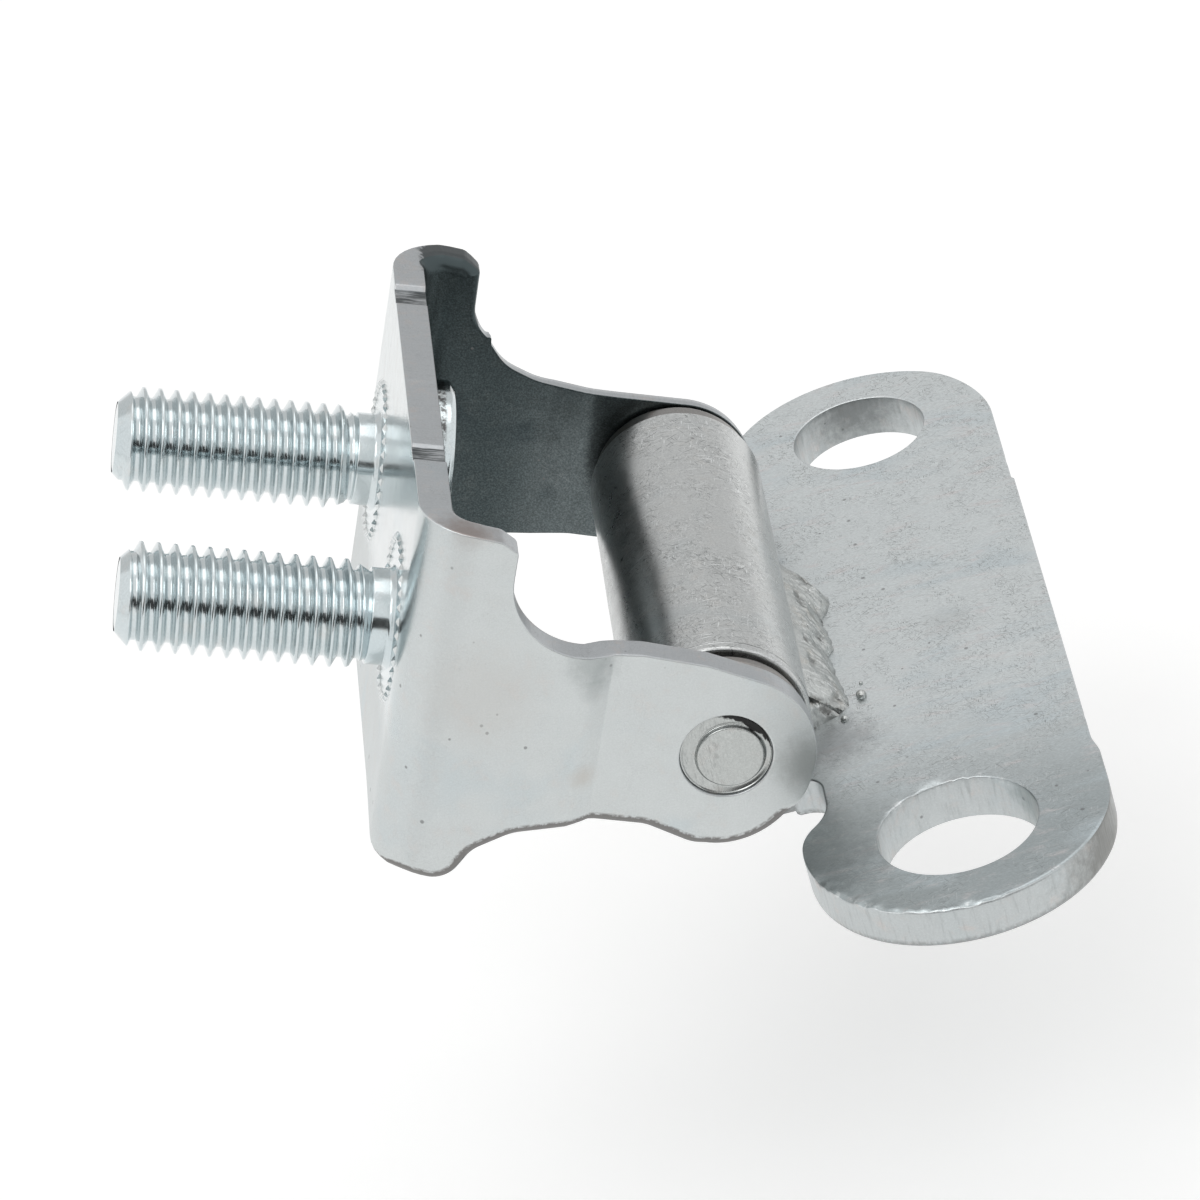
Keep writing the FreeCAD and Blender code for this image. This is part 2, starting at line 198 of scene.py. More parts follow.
def circles_meet(a: Point, ra: float, b: Point, rb: float, side: int) -> Point:
    """The point at distances ra from a and rb from b, on one side of the line between them."""
    start, end = np.array(a), np.array(b)
    gap = float(np.linalg.norm(end - start))
    along = (ra * ra - rb * rb + gap * gap) / (2 * gap)
    across = math.sqrt(max(ra * ra - along * along, 0))
    run = (end - start) / gap
    found = start + run * along + np.array((-run[1], run[0])) * across * side
    return float(found[0]), float(found[1])


def thinned(loop: Sequence[Point], step: float) -> np.ndarray:
    """Drop points of a loop that stand closer than a fifth of step, and return an array."""
    nearest = step / 5
    kept = [loop[0]]
    for point in loop[1:]:
        if math.dist(point, kept[-1]) > nearest:
            kept.append(point)
    if math.dist(kept[0], kept[-1]) < nearest:
        kept.pop()
    return np.array(kept, float)


def inward(loop: np.ndarray) -> np.ndarray:
    """Unit normals to the left of a loop's run, lengthened at corners so that offsets stay even."""
    before, after = unit(loop - np.roll(loop, 1, axis=0)), unit(np.roll(loop, -1, axis=0) - loop)
    left_before, left_after = (np.stack((-run[:, 1], run[:, 0]), axis=1) for run in (before, after))
    both = unit(left_before + left_after)
    return both * (1 / np.maximum((both * left_before).sum(axis=1, keepdims=True), LEAST_COSINE))


def inside(points: np.ndarray, loop: np.ndarray) -> np.ndarray:
    """Tell for each point whether it is inside a closed loop."""
    result = np.zeros(len(points), bool)
    for (x0, y0), (x1, y1) in zip(loop, np.roll(loop, -1, axis=0)):
        if y0 == y1:
            continue
        crosses = (points[:, 1] > min(y0, y1)) & (points[:, 1] <= max(y0, y1))
        result ^= crosses & (points[:, 0] < x0 + (points[:, 1] - y0) * (x1 - x0) / (y1 - y0))
    return result


def clearance(points: np.ndarray, loop: np.ndarray) -> np.ndarray:
    """Distance of each point from the nearest side of a closed loop."""
    nearest = np.full(len(points), 1e9)
    for start, end in zip(loop, np.roll(loop, -1, axis=0)):
        side = end - start
        share = np.clip(((points - start) @ side) / max(side @ side, 1e-12), 0, 1)
        nearest = np.minimum(nearest, np.linalg.norm(points - start - share[:, None] * side, axis=1))
    return nearest


# Meshes


def linked(name: str, data: bpy.types.ID) -> bpy.types.Object:
    """Make an object of some data at the origin and link it into the scene."""
    made = bpy.data.objects.new(name, data)
    bpy.context.scene.collection.objects.link(made)
    return made


def flat_quad(name: str, wide: float, high: float, level: float = 0.0) -> bpy.types.Mesh:
    """A level rectangle about the Z axis, given by its half width and half height."""
    mesh = bpy.data.meshes.new(name)
    corners = [(x * wide, y * high, level) for x, y in ((-1, -1), (1, -1), (1, 1), (-1, 1))]
    mesh.from_pydata(corners, [], [(0, 1, 2, 3)])
    return mesh


def outward(shell: bmesh.types.BMesh, matrix: Matrix, mesh: bpy.types.Mesh) -> None:
    """Face a shell outwards, move it by a matrix, write it to a mesh and free it."""
    bmesh.ops.recalc_face_normals(shell, faces=shell.faces)
    shell.transform(matrix)
    shell.to_mesh(mesh)
    shell.free()


def new_object(name: str, mesh: bpy.types.Mesh) -> bpy.types.Object:
    """Make a smooth-shaded object of a mesh at the origin."""
    piece = linked(name, mesh)
    mesh.polygons.foreach_set("use_smooth", [True] * len(mesh.polygons))
    return piece


def place(piece: bpy.types.Object, body: Body, slot: Slot, *nodes: str) -> bpy.types.Object:
    """Ride a finished piece on its body and let it stand for its nodes."""
    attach(piece, body.value)
    if nodes:
        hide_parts(*nodes)
    LOG.info("%s: %d faces", piece.name, len(piece.data.polygons))
    return piece


def join_meshes(name: str, parts: Sequence[bpy.types.Mesh]) -> bpy.types.Mesh:
    """Put several meshes into one, keeping their materials and layers."""
    whole = bmesh.new()
    slots: list[bpy.types.Material] = []
    for part in parts:
        first = len(whole.faces)
        whole.from_mesh(part)
        whole.faces.ensure_lookup_table()
        places = []
        for material in part.materials:
            if material not in slots:
                slots.append(material)
            places.append(slots.index(material))
        for face in whole.faces[first:]:
            if places:
                face.material_index = places[min(face.material_index, len(places) - 1)]
    mesh = bpy.data.meshes.new(name)
    whole.to_mesh(mesh)
    whole.free()
    for material in slots:
        mesh.materials.append(material)
    return mesh


class Side(enum.IntEnum):
    """The three finishes of a sheet, in the order of its materials."""

    FRONT = 0
    WALL = 1
    BACK = 2


@dataclass
class Pattern:
    """The points, map places and faces of a sheet while it is still flat."""

    flat: list[np.ndarray] = field(default_factory=list)
    chart: list[np.ndarray] = field(default_factory=list)
    polygons: list[tuple[int, ...]] = field(default_factory=list)
    sides: list[int] = field(default_factory=list)
    count: int = 0

    def add(self, places: np.ndarray, height: np.ndarray | float, chart: np.ndarray) -> int:
        """Add points at a height with their map places, and give the number of the first."""
        first = self.count
        self.flat.append(np.column_stack((places, height * np.ones(len(places)))))
        self.chart.append(chart)
        self.count += len(places)
        return first


@dataclass
class SheetBlank:
    """A flat piece of sheet with rolled edges, made in its flat pattern and then folded.

    The outline runs anticlockwise and the holes clockwise, in flat millimetres. The face
    at plus half the thickness is the front.
    """

    outline: list[Point]
    holes: list[list[Point]]
    thickness: float
    front_round: Rule
    back_round: Rule
    columns: np.ndarray
    rows: np.ndarray
    hole_round: float = 0.12
    step: float = 0.35
    guard: float = 0.07
    front_strips: int = 3
    wall_strips: int = 7

    def profile(self, front: np.ndarray, back: np.ndarray) -> list[tuple[np.ndarray, np.ndarray]]:
        """The edge from front to back as rows of insets and heights."""
        half = self.thickness / 2
        turns = [math.radians(a) for a in (0, 22.5, 45, 67.5, 90)]
        rows = [(front + self.guard, half + front * 0)]
        rows += [(front * (1 - math.sin(a)), half - front * (1 - math.cos(a))) for a in turns]
        upper, lower = half - front, back - half
        rows += [(front * 0, upper + (lower - upper) * share) for share in (0.15, 0.5, 0.85)]
        rows += [(back * (1 - math.cos(a)), -half + back * (1 - math.sin(a))) for a in turns]
        rows.append((back + self.guard, -half + back * 0))
        return rows

    @staticmethod
    def untangled(ring: np.ndarray, loop: np.ndarray) -> np.ndarray:
        """Close up the runs of an offset ring that turned back on themselves."""
        ring = ring.copy()
        course = np.roll(loop, -1, axis=0) - loop
        for _ in range(40):
            bad = ((np.roll(ring, -1, axis=0) - ring) * course).sum(axis=1) < -1e-9
            if not bad.any():
                break
            for i in np.nonzero(bad)[0]:
                j = (i + 1) % len(ring)
                ring[i] = ring[j] = (ring[i] + ring[j]) / 2
        return ring

    @staticmethod
    def within(points: np.ndarray, rims: Sequence[Rim]) -> np.ndarray:
        """Tell for each point whether it is inside the outline's rim and outside those of the holes."""
        found = inside(points, rims[0][1])
        for _, rim in rims[1:]:
            found &= ~inside(points, rim)
        return found

    def edge(self, pattern: Pattern, loop: np.ndarray, front: np.ndarray, back: np.ndarray) -> tuple[Rim, Rim]:
        """Make the strips of one edge.

        Args:
            pattern: Gets the points and faces.
            loop: The edge's outline.
            front: Radius of the roll at the front, point by point.
            back: Radius of the roll at the back.

        Returns:
            The rim at the front and the one at the back, each as its first number and its places.
        """
        count, normals = len(loop), inward(loop)
        lengths = np.linalg.norm(np.roll(loop, -1, axis=0) - loop, axis=1)
        run = np.concatenate(([0], np.cumsum(lengths)))[:-1]
        rims: list[Rim] = []
        for inset, height in self.profile(front, back):
            ring = self.untangled(loop + normals * inset[:, None], loop)
            rims.append((pattern.add(ring, height, np.column_stack((run, height))), ring))
        sides = [Side.FRONT] * self.front_strips + [Side.WALL] * self.wall_strips
        sides += [Side.BACK] * (len(rims) - 1 - len(sides))
        for side, (a, _), (b, _) in zip(sides, rims, rims[1:]):
            pattern.polygons += [(a + i, b + i, b + (i + 1) % count, a + (i + 1) % count) for i in range(count)]
            pattern.sides += [side] * count
        return rims[0], rims[-1]

    def face(self, pattern: Pattern, side: Side, rims: Sequence[Rim], height: float) -> None:
        """Fill a face with triangles.

        Args:
            pattern: Gets the points and faces.
            side: Which face it is.
            rims: The rims round it, the outline's first.
            height: Its height.
        """
        columns, lines = np.meshgrid(self.columns, self.rows)
        inner = np.column_stack((columns.ravel(), lines.ravel()))
        inner = inner[self.within(inner, rims)]
        for _, rim in rims:
            inner = inner[clearance(inner, rim) > self.step / 2]
        points, edges, numbers = [], [], []
        for start, rim in rims:
            first = len(points)
            points += [Vector(point) for point in rim]
            numbers += range(start, start + len(rim))
            edges += [(first + i, first + (i + 1) % len(rim)) for i in range(len(rim))]
        first = pattern.add(inner, height, inner)
        points += [Vector(point) for point in inner]
        numbers += range(first, first + len(inner))
        found = delaunay_2d_cdt(points, edges, [], 1, 1e-7)
        places = np.array([tuple(point) for point in found[0]])
        origin = [items[0] if items else -1 for items in found[3]]
        crossings = [i for i, item in enumerate(origin) if item < 0]
        if crossings:
            first = pattern.add(places[crossings], height, places[crossings])
            for number, crossing in enumerate(crossings, first):
                origin[crossing] = len(numbers)
                numbers.append(number)
        triangles = np.array([tuple(corners) for corners in found[2] if len(corners) == 3])
        for corners in triangles[self.within(places[triangles].mean(axis=1), rims)]:
            ids = tuple(numbers[origin[i]] for i in corners)
            pattern.polygons.append(ids if side == Side.FRONT else ids[::-1])
            pattern.sides.append(side)

    def build(
        self, name: str, fold: Rule, finishes: Sequence[bpy.types.Material], paint: dict[str, Rule]
    ) -> bpy.types.Mesh:
        """Make the folded mesh.

        Args:
            name: The mesh's name.
            fold: Takes flat points (u, v, height) to places in metres.
            finishes: Materials of the front face, the sheared edges and the back face.
            paint: Attributes by name, each giving flat points a value between 0 and 1.

        Returns:
            The mesh, with the flat pattern as its map.
        """
        pattern = Pattern()
        outline = thinned(self.outline, self.step)
        rims = [self.edge(pattern, outline, self.front_round(outline), self.back_round(outline))]
        for hole in self.holes:
            loop = thinned(hole, self.step)
            small = np.full(len(loop), self.hole_round)
            rims.append(self.edge(pattern, loop, small, small))
        front, back = zip(*rims)
        self.face(pattern, Side.FRONT, front, self.thickness / 2)
        self.face(pattern, Side.BACK, back, -self.thickness / 2)
        places, maps = np.concatenate(pattern.flat), np.concatenate(pattern.chart)
        mesh = bpy.data.meshes.new(name)
        mesh.from_pydata([tuple(point) for point in fold(places)], [], pattern.polygons)
        for finish in finishes:
            mesh.materials.append(finish)
        mesh.polygons.foreach_set("material_index", pattern.sides)
        layer = mesh.uv_layers.new(name=MAP)
        for polygon in mesh.polygons:
            source = maps if pattern.sides[polygon.index] == Side.WALL else places
            for corner in polygon.loop_indices:
                layer.data[corner].uv = source[mesh.loops[corner].vertex_index][:2]
        for label, rule in paint.items():
            mesh.attributes.new(label, "FLOAT", "POINT").data.foreach_set("value", rule(places).astype(np.float32))
        shell = bmesh.new()
        shell.from_mesh(mesh)
        bmesh.ops.remove_doubles(shell, verts=shell.verts, dist=2e-6)
        bmesh.ops.dissolve_degenerate(shell, edges=shell.edges, dist=1e-7)
        shell.to_mesh(mesh)
        shell.free()
        return mesh


@dataclass
class Turning:
    """A turned piece: a section of (radius, height) points spun about an axis."""

    section: list[Corner]
    closed: bool
    segments: int = 144
    step: float = 0.12

    def build(self, name: str, matrix: Matrix, material: bpy.types.Material) -> bpy.types.Mesh:
        """Spin the section about the local Z axis.

        Args:
            name: The mesh's name.
            matrix: Takes local millimetres to metres.
            material: The finish.

        Returns:
            The mesh, mapped by the length round and along the section.
        """
        path = rounded_path(self.section, self.step, self.closed, guard=0.05)
        shell = bmesh.new()
        layer = shell.loops.layers.uv.new(MAP)
        rings: list[list[bmesh.types.BMVert]] = []
        turns = [2 * math.pi * i / self.segments for i in range(self.segments)]
        for radius, height in path:
            around = turns if radius > AXIS else [0.0]
            rings.append([shell.verts.new((radius * math.cos(a), radius * math.sin(a), height)) for a in around])
        lengths = [0.0]
        for start, end in zip(path, path[1:]):
            lengths.append(lengths[-1] + math.dist(start, end))
        pairs = list(zip(range(len(rings)), range(1, len(rings))))
        if self.closed:
            pairs.append((len(rings) - 1, 0))
        widest = max(radius for radius, _ in path)
        for low, high in pairs:
            a, b = rings[low], rings[high]
            for i in range(self.segments):
                corners = []
                for ring, row, column in ((a, low, i), (a, low, i + 1), (b, high, i + 1), (b, high, i)):
                    vertex = ring[0] if len(ring) == 1 else ring[column % self.segments]
                    if all(vertex is not kept for kept, _, _ in corners):
                        corners.append((vertex, row, column))
                face = shell.faces.new([vertex for vertex, _, _ in corners])
                for loop, (_, row, column) in zip(face.loops, corners):
                    run = lengths[row] if not (high == 0 and row == 0) else lengths[-1] + 0.1
                    loop[layer].uv = (column / self.segments * 2 * math.pi * widest, run)
        mesh = bpy.data.meshes.new(name)
        outward(shell, matrix, mesh)
        mesh.materials.append(material)
        return mesh


# Shader groups


class Wiring:
    """Adds nodes to a tree in a line or two each."""

    def __init__(self, tree: bpy.types.NodeTree) -> None:
        """Keep the tree that gets the nodes."""
        self.tree = tree

    def node(self, kind: str, feeds: Feeds | None = None, **settings: object) -> bpy.types.Node:
        """Add a node; feeds go to its inputs by name or number, settings name its properties."""
        made = self.tree.nodes.new(kind)
        for key, value in settings.items():
            setattr(made, key, value)
        for key, value in (feeds or {}).items():
            self.feed(made.inputs[key], value)
        return made

    def link(self, source: Socket, target: Socket) -> None:
        """Join two sockets."""
        self.tree.links.new(source, target)

    def feed(self, socket: Socket, value: object) -> None:
        """Give a socket a link or a plain value; a tint gets its alpha here."""
        if isinstance(value, bpy.types.NodeSocket):
            self.link(value, socket)
        elif value is not None:
            socket.default_value = (*value[:3], 1) if socket.type == "RGBA" else value

    def math(self, operation: str, first: object, second: object = None, clamp: bool = False) -> Socket:
        """One operation on values."""
        return self.node("ShaderNodeMath", {0: first, 1: second}, operation=operation, use_clamp=clamp).outputs[0]

    def times(self, first: object, second: object, clamp: bool = False) -> Socket:
        """The product of two values."""
        return self.math("MULTIPLY", first, second, clamp)

    def plus(self, first: object, second: object) -> Socket:
        """The sum of two values."""
        return self.math("ADD", first, second)

    def minus(self, first: object, second: object, clamp: bool = False) -> Socket:
        """The first value less the second."""
        return self.math("SUBTRACT", first, second, clamp)

    def ramp(self, value: object, low: float, high: float, to_low: float = 0.0, to_high: float = 1.0) -> Socket:
        """A smooth step of a value between two levels."""
        feeds = dict(enumerate((value, low, high, to_low, to_high)))
        return self.node("ShaderNodeMapRange", feeds, interpolation_type="SMOOTHSTEP").outputs[0]

    def stretched(self, vector: object, scale: Sequence[float]) -> Socket:
        """A vector multiplied by a scale along each axis."""
        return self.node("ShaderNodeVectorMath", {0: vector, 1: tuple(scale)}, operation="MULTIPLY").outputs[0]

    def mapped(self, vector: object, scale: Sequence[float], turn: float = 0.0) -> Socket:
        """A vector turned about Z and then stretched."""
        feeds = {"Vector": vector, "Rotation": (0, 0, math.radians(turn))}
        return self.stretched(self.node("ShaderNodeMapping", feeds, vector_type="POINT").outputs[0], scale)

    def joined(self, x: object, y: object, z: object) -> Socket:
        """A vector made of three values."""
        return self.node("ShaderNodeCombineXYZ", {0: x, 1: y, 2: z}).outputs[0]

    def round_z(self, radius: object, angle: object, height: object) -> Socket:
        """A place at a radius and angle round the Z axis."""
        across, along = (self.times(radius, self.math(kind, angle)) for kind in ("COSINE", "SINE"))
        return self.joined(across, along, height)

    def noise(
        self, vector: object, scale: object, detail: float = 3.0, rough: float = 0.55, warp: float = 0.0
    ) -> Socket:
        """Noise between 0 and 1."""
        feeds = {"Vector": vector, "Scale": scale, "Detail": detail, "Roughness": rough, "Distortion": warp}
        return self.node("ShaderNodeTexNoise", feeds).outputs[0]

    def mix(self, factor: object, first: object, second: object, mode: str = "MIX") -> Socket:
        """Mix two colours."""
        feeds = {0: factor, 6: first, 7: second}
        return self.node("ShaderNodeMix", feeds, data_type="RGBA", blend_type=mode).outputs[2]

    def seen(self) -> Socket:
        """1 for rays from the eye and for the ones that come by gloss or glass, else 0."""
        path = self.node("ShaderNodeLightPath")
        direct = self.math("MAXIMUM", path.outputs["Is Camera Ray"], path.outputs["Is Glossy Ray"])
        return self.math("MAXIMUM", direct, path.outputs["Is Transmission Ray"])


class NodeGroup(Wiring):
    """A node group with named inputs and outputs."""

    KINDS = {
        "value": "NodeSocketFloat", "count": "NodeSocketInt", "vector": "NodeSocketVector",
        "colour": "NodeSocketColor", "finish": "NodeSocketMaterial", "geometry": "NodeSocketGeometry",
    }

    def __init__(
        self, name: str, inputs: Iterable[Given], outputs: dict[str, str], kind: str = "ShaderNodeTree"
    ) -> None:
        """Start the group.

        Args:
            name: The group's name.
            inputs: Name, socket kind and default of each input.
            outputs: Socket kind of each output by name.
            kind: The type of its tree.
        """
        super().__init__(bpy.data.node_groups.new(name, kind))
        sockets = self.tree.interface
        for label, sort, default in inputs:
            socket = sockets.new_socket(name=label, in_out="INPUT", socket_type=self.KINDS[sort])
            if default is not None:
                socket.default_value = default
        for label, sort in outputs.items():
            sockets.new_socket(name=label, in_out="OUTPUT", socket_type=self.KINDS[sort])
        self.given = {item.name: item for item in self.node("NodeGroupInput").outputs if item.name}
        self.out = self.node("NodeGroupOutput")

    def give(self, **values: Socket) -> None:
        """Link the outputs by name."""
        for label, value in values.items():
            self.link(value, self.out.inputs[label])


def group_plating() -> None:
    """Zinc's uneven tone: broad cloudy patches between a cool and a warm tint, and a fine grain."""
    net = NodeGroup("plating_tone", (
        ("Vector", "vector", None), ("Tone", "colour", (0.6, 0.63, 0.64, 1)),
        ("Cool", "colour", (0.55, 0.62, 0.65, 1)), ("Warm", "colour", (0.66, 0.62, 0.6, 1)),
        ("Patches", "value", 0.5), ("Grain", "value", 0.1),
    ), {"Color": "colour", "Cloud": "value"})
    given = net.given
    broad = net.noise(given["Vector"], 0.12, 3, 0.6, 0.6)
    fine = net.noise(given["Vector"], 0.55, 4, 0.65, 0.3)
    tone = net.mix(net.times(net.ramp(broad, 0.5, 0.72), given["Patches"]), given["Tone"], given["Cool"])
    tone = net.mix(net.times(net.ramp(fine, 0.52, 0.76), given["Patches"]), tone, given["Warm"])
    grain = net.ramp(net.noise(given["Vector"], 7.0, 3, 0.7), 0.35, 0.75, 1, 0)
    shade = net.minus(1.0, net.times(grain, given["Grain"]))
    grey = net.node("ShaderNodeCombineColor", {0: shade, 1: shade, 2: shade}).outputs[0]
    net.give(Color=net.mix(1.0, tone, grey, "MULTIPLY"), Cloud=fine)


def group_scratches() -> None:
    """Short fine scratches that lie every way, thicker in some patches than in others."""
    net = NodeGroup("fine_scratches", (("Vector", "vector", None), ("Amount", "value", 0.5)),
                    {"Mask": "value", "Light": "value"})
    vector = net.given["Vector"]
    patches = net.ramp(net.noise(vector, 0.16, 2), 0.36, 0.66)
    wave = net.node("ShaderNodeTexNoise", {"Vector": vector, "Scale": 0.4}).outputs["Color"]
    bent = net.node("ShaderNodeVectorMath", {0: wave, 1: (0.35, 0.35, 0.35), 2: vector}, operation="MULTIPLY_ADD")
    layers = []
    courses = ((12, 0.8, 0.645), (64, 1.0, 0.65), (-38, 0.9, 0.65), (98, 1.1, 0.66), (-8, 0.6, 0.65))
    for turn, stretch, level in courses:
        lines = net.noise(net.mapped(bent.outputs[0], (stretch, 9.0, 1), turn), 1.0, 1, 0.5)
        layers.append(net.ramp(lines, level, level + 0.05))
    mask = net.math("MAXIMUM", net.math("MAXIMUM", layers[0], layers[1]), layers[2])
    share = net.times(patches, net.given["Amount"])
    net.give(Mask=net.times(mask, share), Light=net.times(net.math("MAXIMUM", layers[3], layers[4]), share))


def group_specks() -> None:
    """Scattered small round specks."""
    net = NodeGroup("specks", (
        ("Vector", "vector", None), ("Scale", "value", 1.2), ("Share", "value", 0.3), ("Size", "value", 0.12),
    ), {"Mask": "value"})
    given = net.given
    cells = net.node("ShaderNodeTexVoronoi", {"Vector": given["Vector"], "Scale": given["Scale"]}, feature="F1")
    split = net.node("ShaderNodeSeparateColor", {0: cells.outputs["Color"]})
    chosen = net.math("LESS_THAN", split.outputs[0], given["Share"])
    radius = net.times(given["Size"], net.plus(split.outputs[1], 0.3))
    spot = net.minus(1.0, net.math("DIVIDE", cells.outputs["Distance"], radius), clamp=True)
    net.give(Mask=net.times(chosen, net.times(spot, 3.0, clamp=True)))


def group_shear() -> None:
    """Fine grooves across a sheared edge, with the torn band towards its back."""
    net = NodeGroup("sheared_edge", (("Vector", "vector", None), ("Pitch", "value", 3.0)),
                    {"Grooves": "value", "Torn": "value"})
    vector = net.given["Vector"]
    grooves = net.noise(net.stretched(vector, (1, 0.12, 1)), net.given["Pitch"], 3, 0.6)
    net.give(Grooves=grooves, Torn=net.noise(vector, 1.3, 4, 0.65))


def group_stain_and_shade() -> None:
    """A ragged patch about one place, for real stains and for painted shade."""
    net = NodeGroup("ragged_patch", (
        ("Vector", "vector", None), ("Centre", "vector", (0, 0, 0)), ("Reach", "value", 3.0),
    ), {"Mask": "value"})
    vector = net.given["Vector"]
    away = net.node("ShaderNodeVectorMath", {0: vector, 1: net.given["Centre"]}, operation="DISTANCE")
    share = net.math("DIVIDE", away.outputs["Value"], net.given["Reach"])
    ragged = net.times(net.minus(net.noise(vector, 1.1, 5, 0.7), 0.5), 0.9)
    net.give(Mask=net.ramp(net.plus(share, ragged), 0.15, 1.0, 1, 0))


class Effects(enum.Enum):
    """The shared shader groups."""

    PLATING = "plating_tone"
    SCRATCHES = "fine_scratches"
    SPECKS = "specks"
    SHEAR = "sheared_edge"
    STAIN_AND_SHADE = "ragged_patch"

    @staticmethod
    def build_all() -> None:
        """Build every group once."""
        for maker in (group_plating, group_scratches, group_specks, group_shear, group_stain_and_shade):
            maker()

    def place(self, net: Wiring, **feeds: object) -> bpy.types.Node:
        """Put the group in a material and feed its inputs."""
        made = net.node("ShaderNodeGroup", node_tree=bpy.data.node_groups[self.value])
        for key, value in feeds.items():
            net.feed(made.inputs[key], value)
        return made


TICK_TINTS: tuple[Tint, Tint] = (0.16, 0.17, 0.17), (0.85, 0.87, 0.87)
LINE_TINTS: tuple[Tint, Tint] = (0.2, 0.21, 0.21), (0.86, 0.88, 0.88)
PIT_TINT: Tint = (0.17, 0.17, 0.17)
DRAG_TINT: Tint = (0.3, 0.32, 0.32)


@dataclass(frozen=True)
class StainAndShade:
    """A tinted patch about a place in the part's millimetres, for real stains and for painted shade."""

    centre: Place
    reach: float
    tint: Tint
    depth: float


@dataclass(frozen=True)
class ZincFinish:
    """Zinc-plated steel: its tints, gloss, scratches and specks, with wear, stains and painted shade mixed into
    its colour.
    """

    name: str
    tone: Tint
    cool: Tint
    warm: Tint
    roughness: float = 0.3
    patches: float = 0.5
    grain: float = 0.1
    scratches: float = 0.4
    glints: float = 0.3
    pits: float = 0.15
    bump: float = 0.25
    mottle: float = 0.3
    shear: float = 0.0
    by_map: bool = False
    ticks: float = 0.0
    streak: Tint = (1, 1, 1)
    wear_and_shade_tint: Tint = (0.12, 0.12, 0.12)
    matt_and_painted_light_tint: Tint = (0.6, 0.6, 0.6)
    matt_and_painted_light_share: float = 0.0
    matt_rough: float = 0.0
    bright_tint: Tint = (0.9, 0.92, 0.92)
    stains_and_shade: tuple[StainAndShade, ...] = ()

    def build(self) -> bpy.types.Material:
        """Make the material."""
        material = bpy.data.materials.new(self.name)
        material.use_nodes = True
        material.node_tree.nodes.clear()
        net = Wiring(material.node_tree)
        place = net.node("ShaderNodeTexCoord").outputs["Object"]
        solid = net.node("ShaderNodeVectorMath", {0: place, "Scale": 1 / MM}, operation="SCALE").outputs[0]
        flat = net.node("ShaderNodeUVMap", uv_map=MAP).outputs[0] if self.by_map else solid
        matt_and_painted_light, bright, wear_and_shade = (
            net.node("ShaderNodeAttribute", attribute_name=label).outputs["Fac"]
            for label in ("matt_and_painted_light", "bright", "wear_and_shade")
        )
        tone: object = self.tone
        amount: object = self.ticks
        # Where the attribute is high the tone moves to the second tint: painted light on the leaf's face away from
        # the near lobe, lifted painted shade on the bracket's inner side.
        if self.matt_and_painted_light_share:
            tone = net.mix(net.times(matt_and_painted_light, self.matt_and_painted_light_share), tone, self.matt_and_painted_light_tint)
            amount = net.times(net.plus(net.times(matt_and_painted_light, 0.65), 0.35), self.ticks)
        plating = Effects.PLATING.place(
            net, Vector=net.mapped(solid, self.streak), Tone=tone, Cool=self.cool, Warm=self.warm,
            Patches=self.patches, Grain=self.grain)
        colour, cloud = plating.outputs["Color"], plating.outputs["Cloud"]
        if self.ticks:
            short = net.mapped(flat, (2.0, 2.0, 1), 31)
            colour, _ = self.scratched(net, colour, short, amount, *TICK_TINTS)
        colour, lines = self.scratched(net, colour, flat, self.scratches, *LINE_TINTS)
        pits = Effects.SPECKS.place(net, Vector=solid, Scale=0.8, Share=self.pits, Size=0.14).outputs[0]
        colour = net.mix(net.times(pits, 0.65), colour, PIT_TINT)
        height = net.minus(net.times(cloud, self.mottle), net.times(lines, 0.35))
        height = net.minus(height, net.times(pits, 0.5))
        rough = net.plus(self.roughness, net.times(net.minus(cloud, 0.5), 0.2))
        if self.matt_rough:
            rough = net.plus(rough, net.times(matt_and_painted_light, self.matt_rough))
        bright = net.times(bright, net.ramp(net.noise(solid, 0.9, 4, 0.7), 0.53, 0.65, 0, 0.5))
        colour = net.mix(bright, colour, self.bright_tint)
        across = flat
        if self.shear:
            edge = Effects.SHEAR.place(net, Vector=flat, Pitch=3.2)
            grooves = net.ramp(edge.outputs["Grooves"], 0.35, 0.68)
            height = net.plus(height, net.times(grooves, self.shear))
            torn = net.ramp(edge.outputs["Torn"], 0.55, 0.75)
            colour = net.mix(net.times(torn, 0.3 * self.shear), colour, self.warm)
            drag = net.ramp(edge.outputs["Grooves"], 0.52, 0.72)
            colour = net.mix(net.times(drag, 0.35 * self.shear), colour, DRAG_TINT)
            rough = net.plus(rough, net.times(grooves, 0.12 * self.shear))
            across = net.mapped(flat, (1.6, 0.16, 1))
        ragged = net.ramp(net.noise(across, 2.2, 3, 0.7), 0.34, 0.6)
        ragged = net.math("MAXIMUM", ragged, net.minus(wear_and_shade, 1.0))
        worn_or_shaded = net.times(wear_and_shade, ragged, clamp=True)
        # Wear marks and painted shade, given by one attribute, darken the colour towards the wear tint.
        colour = net.mix(worn_or_shaded, colour, self.wear_and_shade_tint)
        height = net.minus(height, net.times(worn_or_shaded, 0.7))
        # Real stains and patches of painted shade are mixed into the colour here.
        for stain_or_shade in self.stains_and_shade:
            patch = Effects.STAIN_AND_SHADE.place(net, Vector=solid, Centre=stain_or_shade.centre, Reach=stain_or_shade.reach)
            colour = net.mix(net.times(patch.outputs[0], stain_or_shade.depth), colour, stain_or_shade.tint)
        bump = net.node("ShaderNodeBump", {"Strength": self.bump, "Distance": 0.05 * MM, "Height": height})
        surface = net.node("ShaderNodeBsdfPrincipled", {
            "Base Color": colour, "Metallic": 1.0, "Roughness": net.math("MAXIMUM", rough, 0.04),
            "Normal": bump.outputs[0],
        })
        net.node("ShaderNodeOutputMaterial", {0: surface.outputs[0]})
        return material

